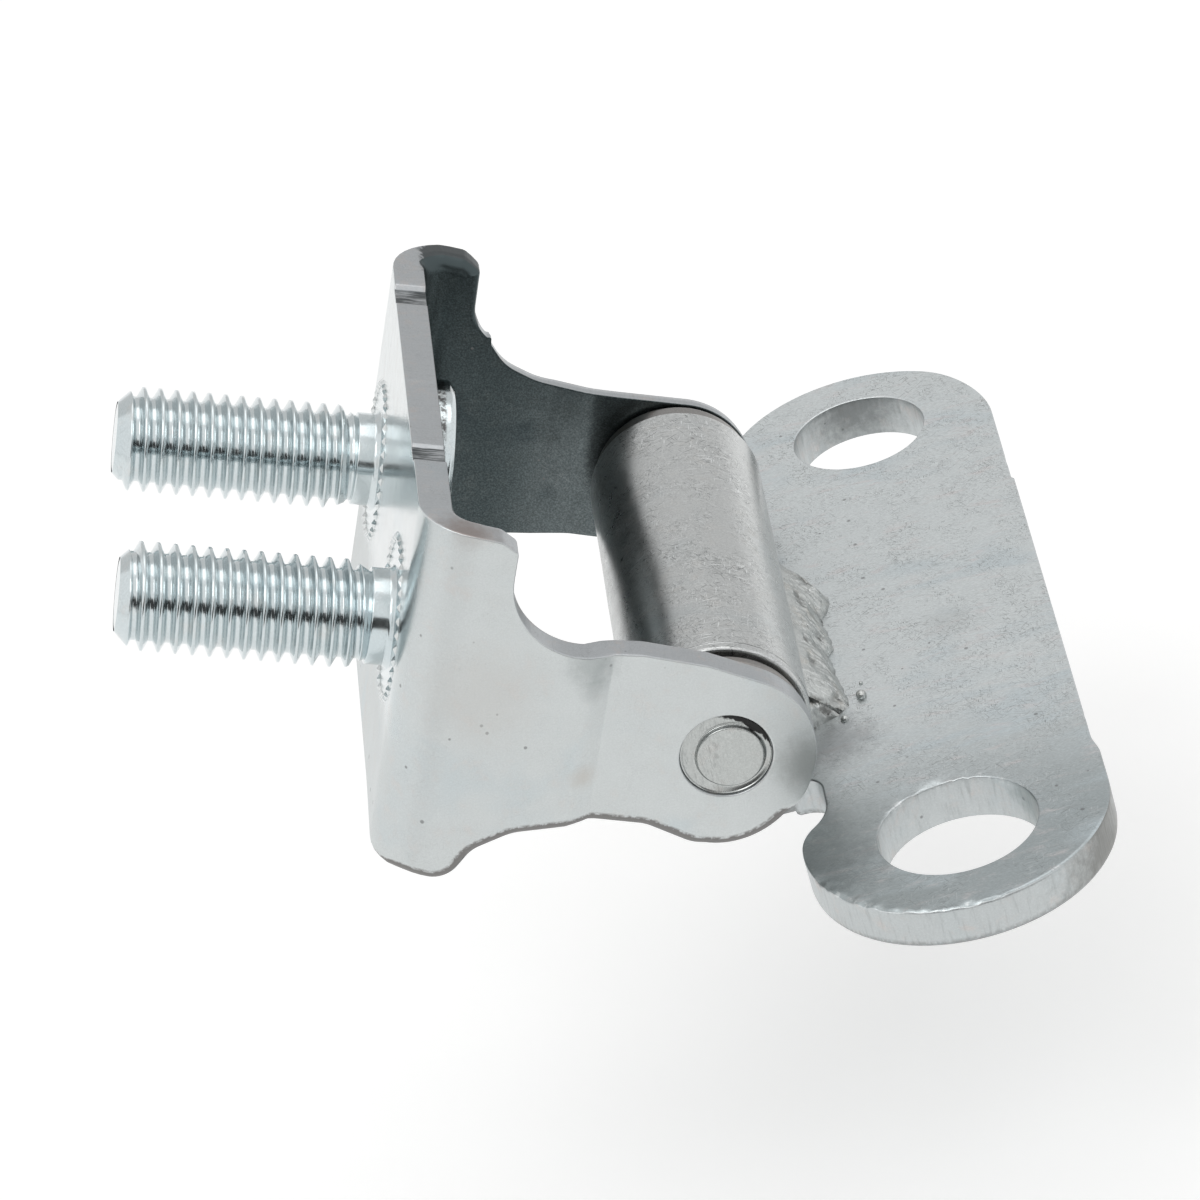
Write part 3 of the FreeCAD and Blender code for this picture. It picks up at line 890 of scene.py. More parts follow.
    def scratched(
        self, net: Wiring, colour: Socket, vector: Socket, amount: object, dark: Tint, pale: Tint
    ) -> tuple[Socket, Socket]:
        """Draw dark scratches and pale glints over a colour, and also give the scratches' mask."""
        lines = Effects.SCRATCHES.place(net, Vector=vector, Amount=amount)
        colour = net.mix(lines.outputs["Mask"], colour, dark)
        return net.mix(net.times(lines.outputs["Light"], self.glints), colour, pale), lines.outputs["Mask"]


@dataclass(frozen=True)
class Finishes:
    """The hinge's finishes, built once."""

    leaf: bpy.types.Material
    leaf_wall: bpy.types.Material
    barrel: bpy.types.Material
    bracket: bpy.types.Material
    bracket_inner_shaded: bpy.types.Material
    bracket_wall: bpy.types.Material
    stud: bpy.types.Material
    serration: bpy.types.Material
    weld: bpy.types.Material
    bush: bpy.types.Material
    pin: bpy.types.Material

    @staticmethod
    def build() -> "Finishes":
        """Make every finish."""
        bend_stain = StainAndShade((-28.1, -22.3, 33.1), 3.2, (0.26, 0.21, 0.19), 0.75)
        # Bracket outer side: brown stains by the bend and a brown speck, painted shade by the joggle and the ear,
        # and two greyer patches.
        bracket_stains_and_shade = (
            StainAndShade((-28.1, -22.9, 32.9), 1.8, (0.4, 0.36, 0.34), 0.3),
            # Painted shade beside the joggle near its top.
            StainAndShade((-22.3, -22.8, 20.1), 2.6, (0.28, 0.31, 0.31), 0.5),
            StainAndShade((-22.7, -22.7, 18.1), 1.5, (0.34, 0.37, 0.37), 0.35),
            StainAndShade((-32.6, -14.0, 12.6), 9.0, (0.5, 0.52, 0.53), 0.45),
            StainAndShade((-25.2, -23.0, 11.0), 1.5, (0.5, 0.45, 0.4), 0.4),
            # Painted shade along the near ear's lower right edge, by the leaf.
            StainAndShade((-9.3, -22.3, 7.2), 3.4, (0.26, 0.27, 0.26), 0.5),
            StainAndShade((-30.5, -23.0, 20.0), 6.0, (0.56, 0.55, 0.53), 0.4),
        )
        # Darker patches on the leaf's face, darkest on the near lobe's left side and by the bead under the ear.
        leaf_dark_patches = (
            StainAndShade((-10.8, -29.9, 3.5), 7.6, (0.16, 0.175, 0.175), 0.6),
            StainAndShade((-7.6, -25.6, 3.5), 5.0, (0.3, 0.33, 0.33), 0.4),
            StainAndShade((-5.6, -36.6, 3.5), 5.0, (0.3, 0.33, 0.33), 0.35),
            StainAndShade((-7.6, -14.4, 3.5), 5.0, (0.25, 0.26, 0.27), 0.6),
            StainAndShade((3.2, -2.1, 3.5), 3.2, (0.45, 0.47, 0.47), 0.3),
        )
        # Painted shade on the leaf's edge faces: inside the far hole, at the near hole's two ends, and low along
        # the near lobe's right side.
        wall_painted_shade = (
            StainAndShade((0, 34.7, 3.4), 6.0, (0.12, 0.13, 0.13), 0.7),
            StainAndShade((-5.9, -30.4, 1.7), 3.6, (0.2, 0.24, 0.24), 0.7),
            StainAndShade((5.9, -27.4, 2.4), 3.4, (0.2, 0.24, 0.24), 0.6),
            StainAndShade((10.2, -33.4, 1.2), 8.0, (0.2, 0.2, 0.19), 0.85),
            StainAndShade((11.3, -25.0, 1.6), 5.0, (0.3, 0.31, 0.3), 0.6),
        )
        plan = {
            "leaf": ZincFinish(
                "zinc_leaf", (0.44, 0.485, 0.495), (0.63, 0.71, 0.745), (0.76, 0.7, 0.695), 0.36, scratches=0.5,
                ticks=0.85, glints=0.5, pits=0.14, grain=0.2, streak=(0.55, 1.7, 1), patches=0.6, by_map=True,
                matt_and_painted_light_tint=(0.76, 0.8, 0.805), matt_and_painted_light_share=1.0, wear_and_shade_tint=(0.3, 0.31, 0.31), stains_and_shade=leaf_dark_patches),
            "leaf_wall": ZincFinish(
                "zinc_leaf_edge", (0.56, 0.59, 0.595), (0.5, 0.56, 0.58), (0.65, 0.59, 0.56), 0.36, scratches=0.05,
                shear=0.8, by_map=True, wear_and_shade_tint=(0.3, 0.31, 0.31), stains_and_shade=wall_painted_shade),
            "barrel": ZincFinish(
                "zinc_barrel", (0.645, 0.66, 0.655), (0.56, 0.6, 0.61), (0.67, 0.65, 0.62), scratches=0.8,
                ticks=0.9, glints=1.0, pits=0.1, grain=0.2, bump=0.35, by_map=True),
            "bracket": ZincFinish(
                "zinc_bracket", (0.62, 0.66, 0.665), (0.56, 0.63, 0.655), (0.68, 0.655, 0.635), 0.17,
                scratches=0.05, ticks=0.12, pits=0.26, grain=0.08, bump=0.15, by_map=True,
                matt_and_painted_light_tint=(0.64, 0.67, 0.67), matt_and_painted_light_share=1.0, matt_rough=0.25, wear_and_shade_tint=(0.22, 0.215, 0.21),
                stains_and_shade=bracket_stains_and_shade),
            # Painted shade: the bracket's inner side is the same zinc as the outer, made near black for the shade
            # inside the U.
            "bracket_inner_shaded": ZincFinish(
                "zinc_bracket_inside_shaded", (0.085, 0.108, 0.112), (0.06, 0.08, 0.087), (0.13, 0.155, 0.155), 0.34,
                scratches=0.1, ticks=0.3, pits=0.2, grain=0.5, patches=0.7, by_map=True,
                matt_and_painted_light_tint=(0.17, 0.2, 0.205), matt_and_painted_light_share=1.0, wear_and_shade_tint=(0.07, 0.088, 0.092),
                stains_and_shade=(bend_stain,)),
            "bracket_wall": ZincFinish(
                "zinc_bracket_edge", (0.47, 0.49, 0.505), (0.43, 0.48, 0.51), (0.57, 0.5, 0.46), 0.36,
                scratches=0.05, ticks=0.3, shear=0.5, by_map=True, wear_and_shade_tint=(0.085, 0.094, 0.097),
                stains_and_shade=(bend_stain,)),
            "stud": ZincFinish(
                "bright_zinc_stud", (0.66, 0.72, 0.735), (0.58, 0.67, 0.7), (0.72, 0.71, 0.69), 0.15,
                scratches=0.1, pits=0.05, bump=0.12, mottle=0.2),
            "serration": ZincFinish(
                "bright_zinc_teeth", (0.8, 0.83, 0.83), (0.72, 0.78, 0.8), (0.8, 0.79, 0.77), 0.2, scratches=0.0,
                pits=0.0, grain=0.2, bump=0.1),
            "weld": ZincFinish(
                "weld_plated", (0.56, 0.58, 0.57), (0.42, 0.45, 0.46), (0.56, 0.52, 0.46), 0.34, ticks=0.8,
                glints=0.9, pits=0.3, grain=0.15, bump=0.4, mottle=0.4, wear_and_shade_tint=(0.07, 0.065, 0.06)),
            # The bush is a dull dark grey, partly standing in for the shade in the gap between barrel and ear.
            "bush": ZincFinish(
                "bush_bronze_shaded", (0.32, 0.31, 0.3), (0.27, 0.27, 0.27), (0.36, 0.31, 0.27), scratches=0.1, pits=0.1,
                grain=0.2),
            "pin": ZincFinish(
                "pin_steel", (0.52, 0.54, 0.53), (0.46, 0.49, 0.49), (0.55, 0.52, 0.49), 0.25, scratches=0.25,
                ticks=0.3, pits=0.1, grain=0.15, wear_and_shade_tint=(0.03, 0.03, 0.03)),
        }
        return Finishes(**{part: finish.build() for part, finish in plan.items()})


# Repeats made with geometry nodes


class GeometryTree(NodeGroup):
    """A geometry node tree with named inputs, run once on an empty mesh."""

    def __init__(self, name: str, inputs: Iterable[Given]) -> None:
        """Start the tree with its inputs as name, kind and default."""
        inputs = (("Geometry", "geometry", None), ("Finish", "finish", None), *inputs)
        super().__init__(name, inputs, {"Geometry": "geometry"}, "GeometryNodeTree")

    def end(self, geometry: Socket) -> None:
        """Close the tree: realize, give the finish and hand the geometry out."""
        real = self.node("GeometryNodeRealizeInstances", {0: geometry})
        feeds = {"Geometry": real.outputs[0], "Material": self.given["Finish"]}
        self.give(Geometry=self.node("GeometryNodeSetMaterial", feeds).outputs[0])

    def run(self, name: str, matrix: Matrix, **values: object) -> bpy.types.Mesh:
        """Run the tree with these inputs.

        Args:
            name: The mesh's name.
            matrix: Takes local millimetres to metres.
            values: Input names.

        Returns:
            The plain mesh.
        """
        carrier = linked(name, bpy.data.meshes.new(name))
        modifier = carrier.modifiers.new("rule", "NODES")
        modifier.node_group = self.tree
        for item in self.tree.interface.items_tree:
            if item.in_out == "INPUT" and item.name in values:
                modifier[item.identifier] = values[item.name]
        carrier.update_tag()
        bpy.context.view_layer.update()
        graph = bpy.context.evaluated_depsgraph_get()
        mesh = bpy.data.meshes.new_from_object(carrier.evaluated_get(graph))
        carrier.modifiers.remove(modifier)
        bpy.data.objects.remove(carrier)
        shell = bmesh.new()
        shell.from_mesh(mesh)
        bmesh.ops.remove_doubles(shell, verts=shell.verts, dist=1e-4)
        bmesh.ops.dissolve_degenerate(shell, edges=shell.edges, dist=1e-5)
        outward(shell, matrix, mesh)
        mesh.name = name
        return mesh


def thread_tree() -> GeometryTree:
    """A thread: one strip a pitch wide wound along Z, its radius following the thread's form."""
    tree = GeometryTree("thread_winding", (
        ("Pitch", "value", 1.25), ("Crest", "value", 4.0), ("Root", "value", 3.23), ("Start", "value", 1.7),
        ("End", "value", 20.0), ("Point", "value", 2.9), ("Windings", "count", 17), ("Steps", "count", 64),
    ))
    given = tree.given
    along = tree.plus(tree.times(given["Windings"], given["Steps"]), 1.0)
    grid = tree.node("GeometryNodeMeshGrid", {"Size X": 1.0, "Size Y": 1.0, "Vertices X": along, "Vertices Y": 17})
    split = tree.node("ShaderNodeSeparateXYZ", {0: tree.node("GeometryNodeInputPosition").outputs[0]})
    turns = tree.times(tree.plus(split.outputs[0], 0.5), given["Windings"])
    share = tree.plus(split.outputs[1], 0.5)
    first = tree.minus(given["Start"], given["Pitch"])
    height = tree.plus(first, tree.times(tree.plus(turns, share), given["Pitch"]))
    height = tree.math("MINIMUM", tree.math("MAXIMUM", height, given["Start"]), given["End"])
    off_crest = tree.math("ABSOLUTE", split.outputs[1])
    levels = dict(enumerate((off_crest, 0.0625, 0.375, given["Crest"], given["Root"])))
    flank = tree.node("ShaderNodeMapRange", levels, interpolation_type="LINEAR").outputs[0]
    point = tree.plus(given["Point"], tree.minus(given["End"], height))
    rise = tree.times(tree.minus(height, given["Start"]), 0.55)
    runout = tree.plus(tree.minus(given["Root"], 0.02), rise)
    radius = tree.math("MINIMUM", flank, tree.math("MINIMUM", point, runout))
    place = tree.round_z(radius, tree.times(turns, 2 * math.pi), height)
    tree.end(tree.node("GeometryNodeSetPosition", {"Geometry": grid.outputs[0], "Position": place}).outputs[0])
    return tree


def serration_tree() -> GeometryTree:
    """A ring of small wedge teeth round Z, pointing outwards."""
    tree = GeometryTree("serration_ring", (
        ("Count", "count", 38), ("Ring", "value", 6.0), ("Length", "value", 1.0), ("Width", "value", 0.8),
        ("Height", "value", 0.3), ("Lift", "value", 0.0),
    ))
    given = tree.given
    line = tree.node("GeometryNodeMeshLine", {"Count": given["Count"]}, mode="OFFSET")
    index = tree.node("GeometryNodeInputIndex").outputs[0]
    angle = tree.times(tree.math("DIVIDE", index, given["Count"]), 2 * math.pi)
    place = tree.round_z(given["Ring"], angle, given["Lift"])
    moved = tree.node("GeometryNodeSetPosition", {"Geometry": line.outputs[0], "Position": place})
    tooth = tree.node("GeometryNodeMeshCone", {
        "Vertices": 4, "Radius Top": 0.12, "Radius Bottom": 0.7071, "Depth": 1.0,
    }, fill_type="NGON")
    squared = tree.node("GeometryNodeTransform", {
        "Geometry": tooth.outputs[0], "Rotation": (0, 0, math.pi / 4), "Translation": (0, 0, -0.5),
    })
    copies = tree.node("GeometryNodeInstanceOnPoints", {
        "Points": moved.outputs[0], "Instance": squared.outputs[0], "Rotation": tree.joined(None, None, angle),
        "Scale": tree.joined(given["Length"], given["Width"], given["Height"]),
    })
    tree.end(copies.outputs[0])
    return tree


# Sub-assemblies


@dataclass
class Leaf:
    """The flat leaf: two round lobes, a waist, ear notches, a toe under the barrel, two holes."""

    thickness: float = 3.5
    half_width: float = 11.3
    near_lobe: float = -28.3
    far_lobe: float = 27.3
    hole_reach: float = 29.4
    near_hole: float = 5.9
    far_hole: float = 5.35
    notch: Point = (-12.9, 22.1)
    notch_radius: float = 4.0
    shoulder_radius: float = 4.0
    toe: float = -15.5
    barrel_half: float = 17.7
    back_roll: float = 0.9
    grid: float = 0.6
    nicks: tuple[Point, ...] = ((19.4, 0.5), (-19.2, 0.45))

    def side(self, lobe: float, sign: int) -> list[Point]:
        """The left side of one end, from the lobe's crown round the shoulder and notch to the toe."""
        centre, notch = (0.0, abs(lobe)), self.notch
        radius, bite, turn = self.half_width, self.notch_radius, self.shoulder_radius
        fillet = circles_meet(notch, bite + turn, centre, radius - turn, 1)
        if fillet[0] > 0:
            fillet = circles_meet(notch, bite + turn, centre, radius - turn, -1)
        on_lobe = math.degrees(math.atan2(fillet[1] - centre[1], fillet[0] - centre[0]))
        to_notch = math.degrees(math.atan2(notch[1] - fillet[1], notch[0] - fillet[0]))
        from_fillet = math.degrees(math.atan2(fillet[1] - notch[1], fillet[0] - notch[0]))
        inset = notch[0] + radius
        right, low = notch[0] + bite, notch[1] - math.sqrt(bite ** 2 - inset ** 2)
        points = arc_points(centre, radius, 90, on_lobe % 360, 0.35)
        points += arc_points(fillet, turn, on_lobe % 360, to_notch % 360, 0.3)[1:]
        points += arc_points(notch, bite, from_fillet, 0, 0.3)[1:]
        points += rounded_path([(right, notch[1], 0), (right, low, 1.8), (-radius, low, 0)], 0.3)[1:]
        points += [(-radius, self.barrel_half), (self.toe, self.barrel_half)]
        return [(x, y * sign) for x, y in points]

    def outline(self) -> list[Point]:
        """The whole outline, anticlockwise from the near lobe's crown."""
        right = arc_points((0, self.near_lobe), self.half_width, -90, 0, 0.35)
        ends = [(self.half_width, lobe, 0) for lobe in (self.near_lobe, self.far_lobe)]
        right += rounded_path(ends, 0.15)[1:-1]
        right += arc_points((0, self.far_lobe), self.half_width, 0, 90, 0.35)
        return right + self.side(self.far_lobe, 1)[1:] + self.side(self.near_lobe, -1)[::-1][:-1]

    def build(self, finishes: Finishes) -> bpy.types.Object:
        """Make the leaf and place it on its body."""
        blank = SheetBlank(
            outline=self.outline(),
            holes=[
                circle_points(0, -self.hole_reach, self.near_hole)[::-1],
                circle_points(0, self.hole_reach, self.far_hole)[::-1],
            ],
            thickness=self.thickness,
            front_round=lambda loop: 0.14 + 0.16 * eased(-loop[:, 1], 30, 36),
            back_round=lambda loop: np.full(len(loop), self.back_roll),
            columns=np.arange(-15.3, self.half_width, self.grid), rows=np.arange(-39.4, 38.6, self.grid),
        )
        # The leaf's face is painted paler away from the near lobe, as painted light, and gets more fine scratches
        # there.
        mesh = blank.build(
            "leaf_plate_dressed", self.fold, (finishes.leaf, finishes.leaf_wall, finishes.leaf),
            {"bright": self.burrs, "wear_and_shade": self.shade, "matt_and_painted_light": lambda flat: eased(flat[:, 1], -33, -10)})
        return place(new_object("leaf_plate_dressed", mesh), Body.LEAF, Slot.ZINC, "leaf_plate")

    def shade(self, flat: np.ndarray) -> np.ndarray:
        """Painted shade: a dark line low on the outer edge, where it rolls under."""
        height = flat[:, 2] + self.thickness / 2
        low = eased(-height, -0.75, -0.35) * (1 - eased(-height, -0.1, -0.02))
        hole = np.hypot(flat[:, 0], np.abs(flat[:, 1]) - self.hole_reach)
        return 1.6 * low * (hole > self.near_hole + 1)

    def burrs(self, flat: np.ndarray) -> np.ndarray:
        """Bright nicks along the upper rim of the near lobe and of the holes."""
        x, y, height = flat.T
        rim = eased(height, self.thickness / 2 - 0.22, self.thickness / 2 - 0.1)
        lobe = (y < -30) * (np.hypot(x, y - self.near_lobe) > self.half_width - 0.4) * (1 - eased(x, 1, 4))
        hole = np.abs(np.hypot(x, y + self.hole_reach) - self.near_hole) < 0.3
        return rim * np.maximum(lobe, hole * eased(y, -28, -25))

    def fold(self, flat: np.ndarray) -> np.ndarray:
        """Stand the flat pattern on the mounting face, with its stepped edge, nicks and waves."""
        x, y = flat[:, 0].copy(), flat[:, 1]
        height = flat[:, 2] + self.thickness / 2
        top = eased(height, self.thickness - 0.5, self.thickness)
        wave = np.array([noise.noise(Vector((a * 0.11, b * 0.08, 3.1))) for a, b in zip(x, y)])
        edge = eased(x, 6.0, 11.0)
        x -= edge * (0.35 * eased(y, -24.6, -22.2) + 0.2 * eased(y, 16.3, 16.6))
        for middle, reach in self.nicks:
            dent = np.clip(1 - ((y - middle) / reach) ** 2, 0, 1)
            x -= eased(x, 10.0, 11.2) * dent * (0.12 + 0.16 * top)
        chips = np.array([noise.noise(Vector((a * 1.7, b * 1.7, 8.4))) for a, b in zip(x, y)])
        chips = self.burrs(flat) * np.clip(chips * 0.35, -0.1, 0.1)
        return np.column_stack((x, y, height + top * (wave * 0.05 - 0.04) + np.minimum(chips, 0.02))) * MM


@dataclass
class Bracket:
    """The folded bracket: a plate between two S-curved wings with joggled ears."""

    sheet: float = 2.4
    plate_outer: float = -24.4
    half_width: float = 23.0
    ear_outer: float = 22.3
    bend: float = 4.6
    joggle_start: float = -11.2
    joggle_end: float = -9.5
    joggle_round: float = 1.5
    top: float = 16.6
    bottom: float = -11.0
    low_corner: float = -12.4
    ear_radius: float = 6.6
    far_ear_radius: float = 6.2
    grid: float = 0.6
    pin_hole: float = 3.4
    stud_reach: float = 11.9
    stud_height: float = 3.2
    collar: float = 5.95
    far_joggle: tuple[float, float, float] = (-10.4, -7.4, 4.0)
    reading: float = 0.06
    spines: dict[int, tuple[np.ndarray, np.ndarray]] = field(default_factory=dict)

    def __post_init__(self) -> None:
        """Lay out the middle line of the strip, from the plate's middle to each ear's tip."""
        half = self.sheet / 2
        for side, (start, end, turn) in (
            (-1, (self.joggle_start, self.joggle_end, self.joggle_round)), (1, self.far_joggle)
        ):
            spine = np.array(rounded_path([
                (self.plate_outer + half, 0, 0),
                (self.plate_outer + half, self.half_width - half, self.bend - half),
                (start, self.half_width - half, turn), (end, self.ear_outer - half, turn),
                (self.ear_radius + 2, self.ear_outer - half, 0),
            ], 0.12))
            gaps = np.linalg.norm(np.diff(spine, axis=0), axis=1)
            self.spines[side] = spine, np.concatenate(([0], np.cumsum(gaps)))

    def at(self, x: float) -> float:
        """Length along the strip at which a wing reaches x."""
        spine, run = self.spines[-1]
        past = np.argmax(run > self.half_width * 0.9)
        return float(np.interp(x, spine[past:, 0], run[past:]))

    def folded(self, flat: np.ndarray) -> np.ndarray:
        """Bend the flat pattern round the spines, in the bracket's millimetres; the front is the outer side."""
        points = np.zeros((len(flat), 3))
        delta = self.reading
        for side, (spine, run) in self.spines.items():
            mine = flat[:, 0] < 0 if side < 0 else flat[:, 0] >= 0
            along = np.abs(flat[mine, 0])
            ahead, behind = along + delta, np.abs(along - delta)
            dx = np.interp(ahead, run, spine[:, 0]) - np.interp(behind, run, spine[:, 0])
            back = np.interp(behind, run, spine[:, 1])
            dy = np.interp(ahead, run, spine[:, 1]) - np.where(along >= delta, back, -back)
            rise = flat[mine, 2] / np.hypot(dx, dy)
            x = np.interp(along, run, spine[:, 0]) - dy * rise
            y = (np.interp(along, run, spine[:, 1]) + dx * rise) * side
            points[mine] = np.column_stack((x, y, flat[mine, 1]))
        return points

    def fold(self, flat: np.ndarray) -> np.ndarray:
        """Bend the flat pattern and tip it up to its rest place, in metres."""
        matrix = np.array(bracket_frame())
        return self.folded(flat) @ matrix[:3, :3].T + matrix[:3, 3]

    def half_outline(self, far: bool) -> list[Point]:
        """One half of the outline, from the plate's top middle to its bottom middle."""
        at, top = self.at, self.top
        band = (12.7, 15.5) if far else (9.4, 12.1)
        corners: list[Corner] = [
            (0, top - 0.22, 0), (band[0], top - 0.22, 0.3), (band[0] + 0.35, top - 0.4, 0.3),
            (band[1] - 0.35, top - 0.4, 0.3), (band[1], top - 0.05, 0.3), (band[1] + 1.2, top, 0.5),
            (at(-20.4), top, 2.0), (at(-18.6), top - 0.25, 1.0), (at(-17.35), top - 1.05, 0.4),
        ]
        if far:
            radius = self.far_ear_radius
            corners += [
                (at(-17.3), 11.2, 3.0), (at(-16.1), 10.1, 0.2), (at(-15.75), 10.15, 0.2), (at(-15.7), 9.5, 0.4),
                (at(-14.4), 7.8, 4.0), (at(-11.4), 6.55, 6.0), (at(-5.5), 6.3, 6.0),
            ]
        else:
            radius = self.ear_radius
            corners += [(at(-17.4), 7.2, 5.8), (at(-7.2), 7.8, 6.0), (at(-2.4), 7.35, 4.0)]
        ear = 91 if far else math.degrees(math.atan2(6.35, 1.8))
        sag = 1.0 if far else 7.95 / radius
        rim = [(x, z if z > 0 else z * sag) for x, z in arc_points((0, 0), radius, ear, -92, 0.25)]
        path = rounded_path(corners + [(at(rim[0][0]), rim[0][1], 0)], 0.3)
        path += [(at(x), z) for x, z in rim[1:]]
        lower: list[Corner] = [(at(rim[-1][0]), rim[-1][1], 0)]
        if far:
            lower += [
                (at(-5.0), -6.3, 3.0), (at(-7.4), -6.2, 1.5), (at(-10.2), -6.85, 2.5), (at(-14.6), -7.2, 4.0),
                (at(-17.4), -8.4, 2.5), (at(-19.2), self.bottom, 2.4), (at(-22.9), self.bottom, 0.5),
            ]
        else:
            lower += [
                (at(-1.3), -8.0, 3.0), (at(-4.9), -6.74, 3.0), (at(-8.9), -6.65, 4.0), (at(-14.6), -8.0, 4.0),
                (at(-17.3), -9.7, 2.5), (at(-18.8), self.low_corner, 2.2), (at(-22.9), self.low_corner + 0.2, 0.8),
                (18.2, -11.5, 2.0), (12.0, self.bottom, 3.0),
            ]
        lower.append((0, self.bottom, 0))
        return path + rounded_path(lower, 0.3)[1:]

    def outer_roll(self, loop: np.ndarray) -> np.ndarray:
        """Roll of the outer edge: crisp, but drawn far down along the far wing's waist and ear."""
        waist = eased(loop[:, 0], self.at(-18.4), self.at(-15.8)) * eased(loop[:, 1], 0, 3)
        under = eased(-loop[:, 1], 3, 5) * eased(np.abs(loop[:, 0]), 19, 22)
        return 0.12 + 0.95 * under + 1.75 * waist * (loop[:, 1] > 0)

    def inner_roll(self, loop: np.ndarray) -> np.ndarray:
        """Roll of the inner edge: none along the plate, wider over the bends and the near ear."""
        bend = eased(np.abs(loop[:, 0]), 18.5, 20.5)
        far = np.where(loop[:, 0] > 0, 1.1 * (1 - eased(loop[:, 0], self.at(-18.4), self.at(-16.5))), 0.4)
        return 0.08 + bend * far

    def build(self, finishes: Finishes) -> bpy.types.Object:
        """Make the bracket and place it on its body."""
        near, far = self.half_outline(False), self.half_outline(True)
        outline = [(-u, v) for u, v in near] + far[::-1][1:-1]
        area = sum(a[0] * b[1] - b[0] * a[1] for a, b in zip(outline, outline[1:] + outline[:1]))
        if area < 0:
            outline.reverse()
        pin = self.at(0)
        holes = [circle_points(sign * pin, 0, self.pin_hole, 0.25)[::-1] for sign in (-1, 1)]
        holes += [circle_points(sign * self.stud_reach, self.stud_height, self.collar)[::-1] for sign in (-1, 1)]
        wing = min(run[-1] for _, run in self.spines.values())
        joggle = self.at(-12.2), self.at(-8.6)
        columns = np.concatenate((
            np.arange(0, 17.6, 0.8), np.arange(17.6, 24.6, 0.24), np.arange(24.6, joggle[0], 0.5),
            np.arange(joggle[0], joggle[1], 0.14), np.arange(joggle[1], wing, 0.3)))
        blank = SheetBlank(
            outline=outline, holes=holes, thickness=self.sheet,
            front_round=self.outer_roll, back_round=self.inner_roll, step=0.3,
            columns=np.concatenate((-columns[:0:-1], columns)),
            rows=np.arange(self.low_corner, self.top, self.grid),
        )
        mesh = blank.build(
            "bracket_dressed", self.fold, (finishes.bracket, finishes.bracket_wall, finishes.bracket_inner_shaded),
            {"wear_and_shade": self.marks_and_shade, "matt_and_painted_light": self.satin_and_shade})
        return place(new_object("bracket_dressed", mesh), Body.BRACKET, Slot.ZINC, "bracket")

    def satin_and_shade(self, flat: np.ndarray) -> np.ndarray:
        """How matt the outer side is, more on the wings; how far the inner side's painted shade is lifted, more
        towards the ears and less near the top.
        """
        run = np.abs(flat[:, 0])
        outer = np.maximum(eased(run, 18.5, 22.5), eased(-flat[:, 1], -1, 5))
        inner = eased(run, self.at(-15.0), self.at(-8.0)) * (1 - 0.55 * eased(flat[:, 1], 1, 7))
        return np.where(flat[:, 2] < 0, inner, outer)

    def marks_and_shade(self, flat: np.ndarray) -> np.ndarray:
        """Torn bands across the plate's top edge, and painted shade: the dark edge of the far horn past the plate
        and a dark line along the lower edges' roll.
        """
        run, height = flat[:, 0], flat[:, 1]
        band = (run > 12.9) & (run < 15.2) | (run > -11.8) & (run < -9.7)
        band = 1.0 * band * (np.abs(flat[:, 2]) < self.sheet / 2 - 0.02)
        horn = eased(self.folded(flat)[:, 0], -22.2, -21.95)
        horn = horn * (run > 18.4) * (run < self.at(-16.9)) * (height > 11)
        depth = self.sheet / 2 - flat[:, 2]
        horn *= (depth > 0.1) * (depth < self.sheet - 0.05)
        under = (height < -4) * eased(depth, 0.0, 0.05) * (1 - eased(depth, 0.6, 1.0))
        return np.maximum.reduce((band * (height > self.top - 0.6), 1.9 * horn, 2.0 * under))


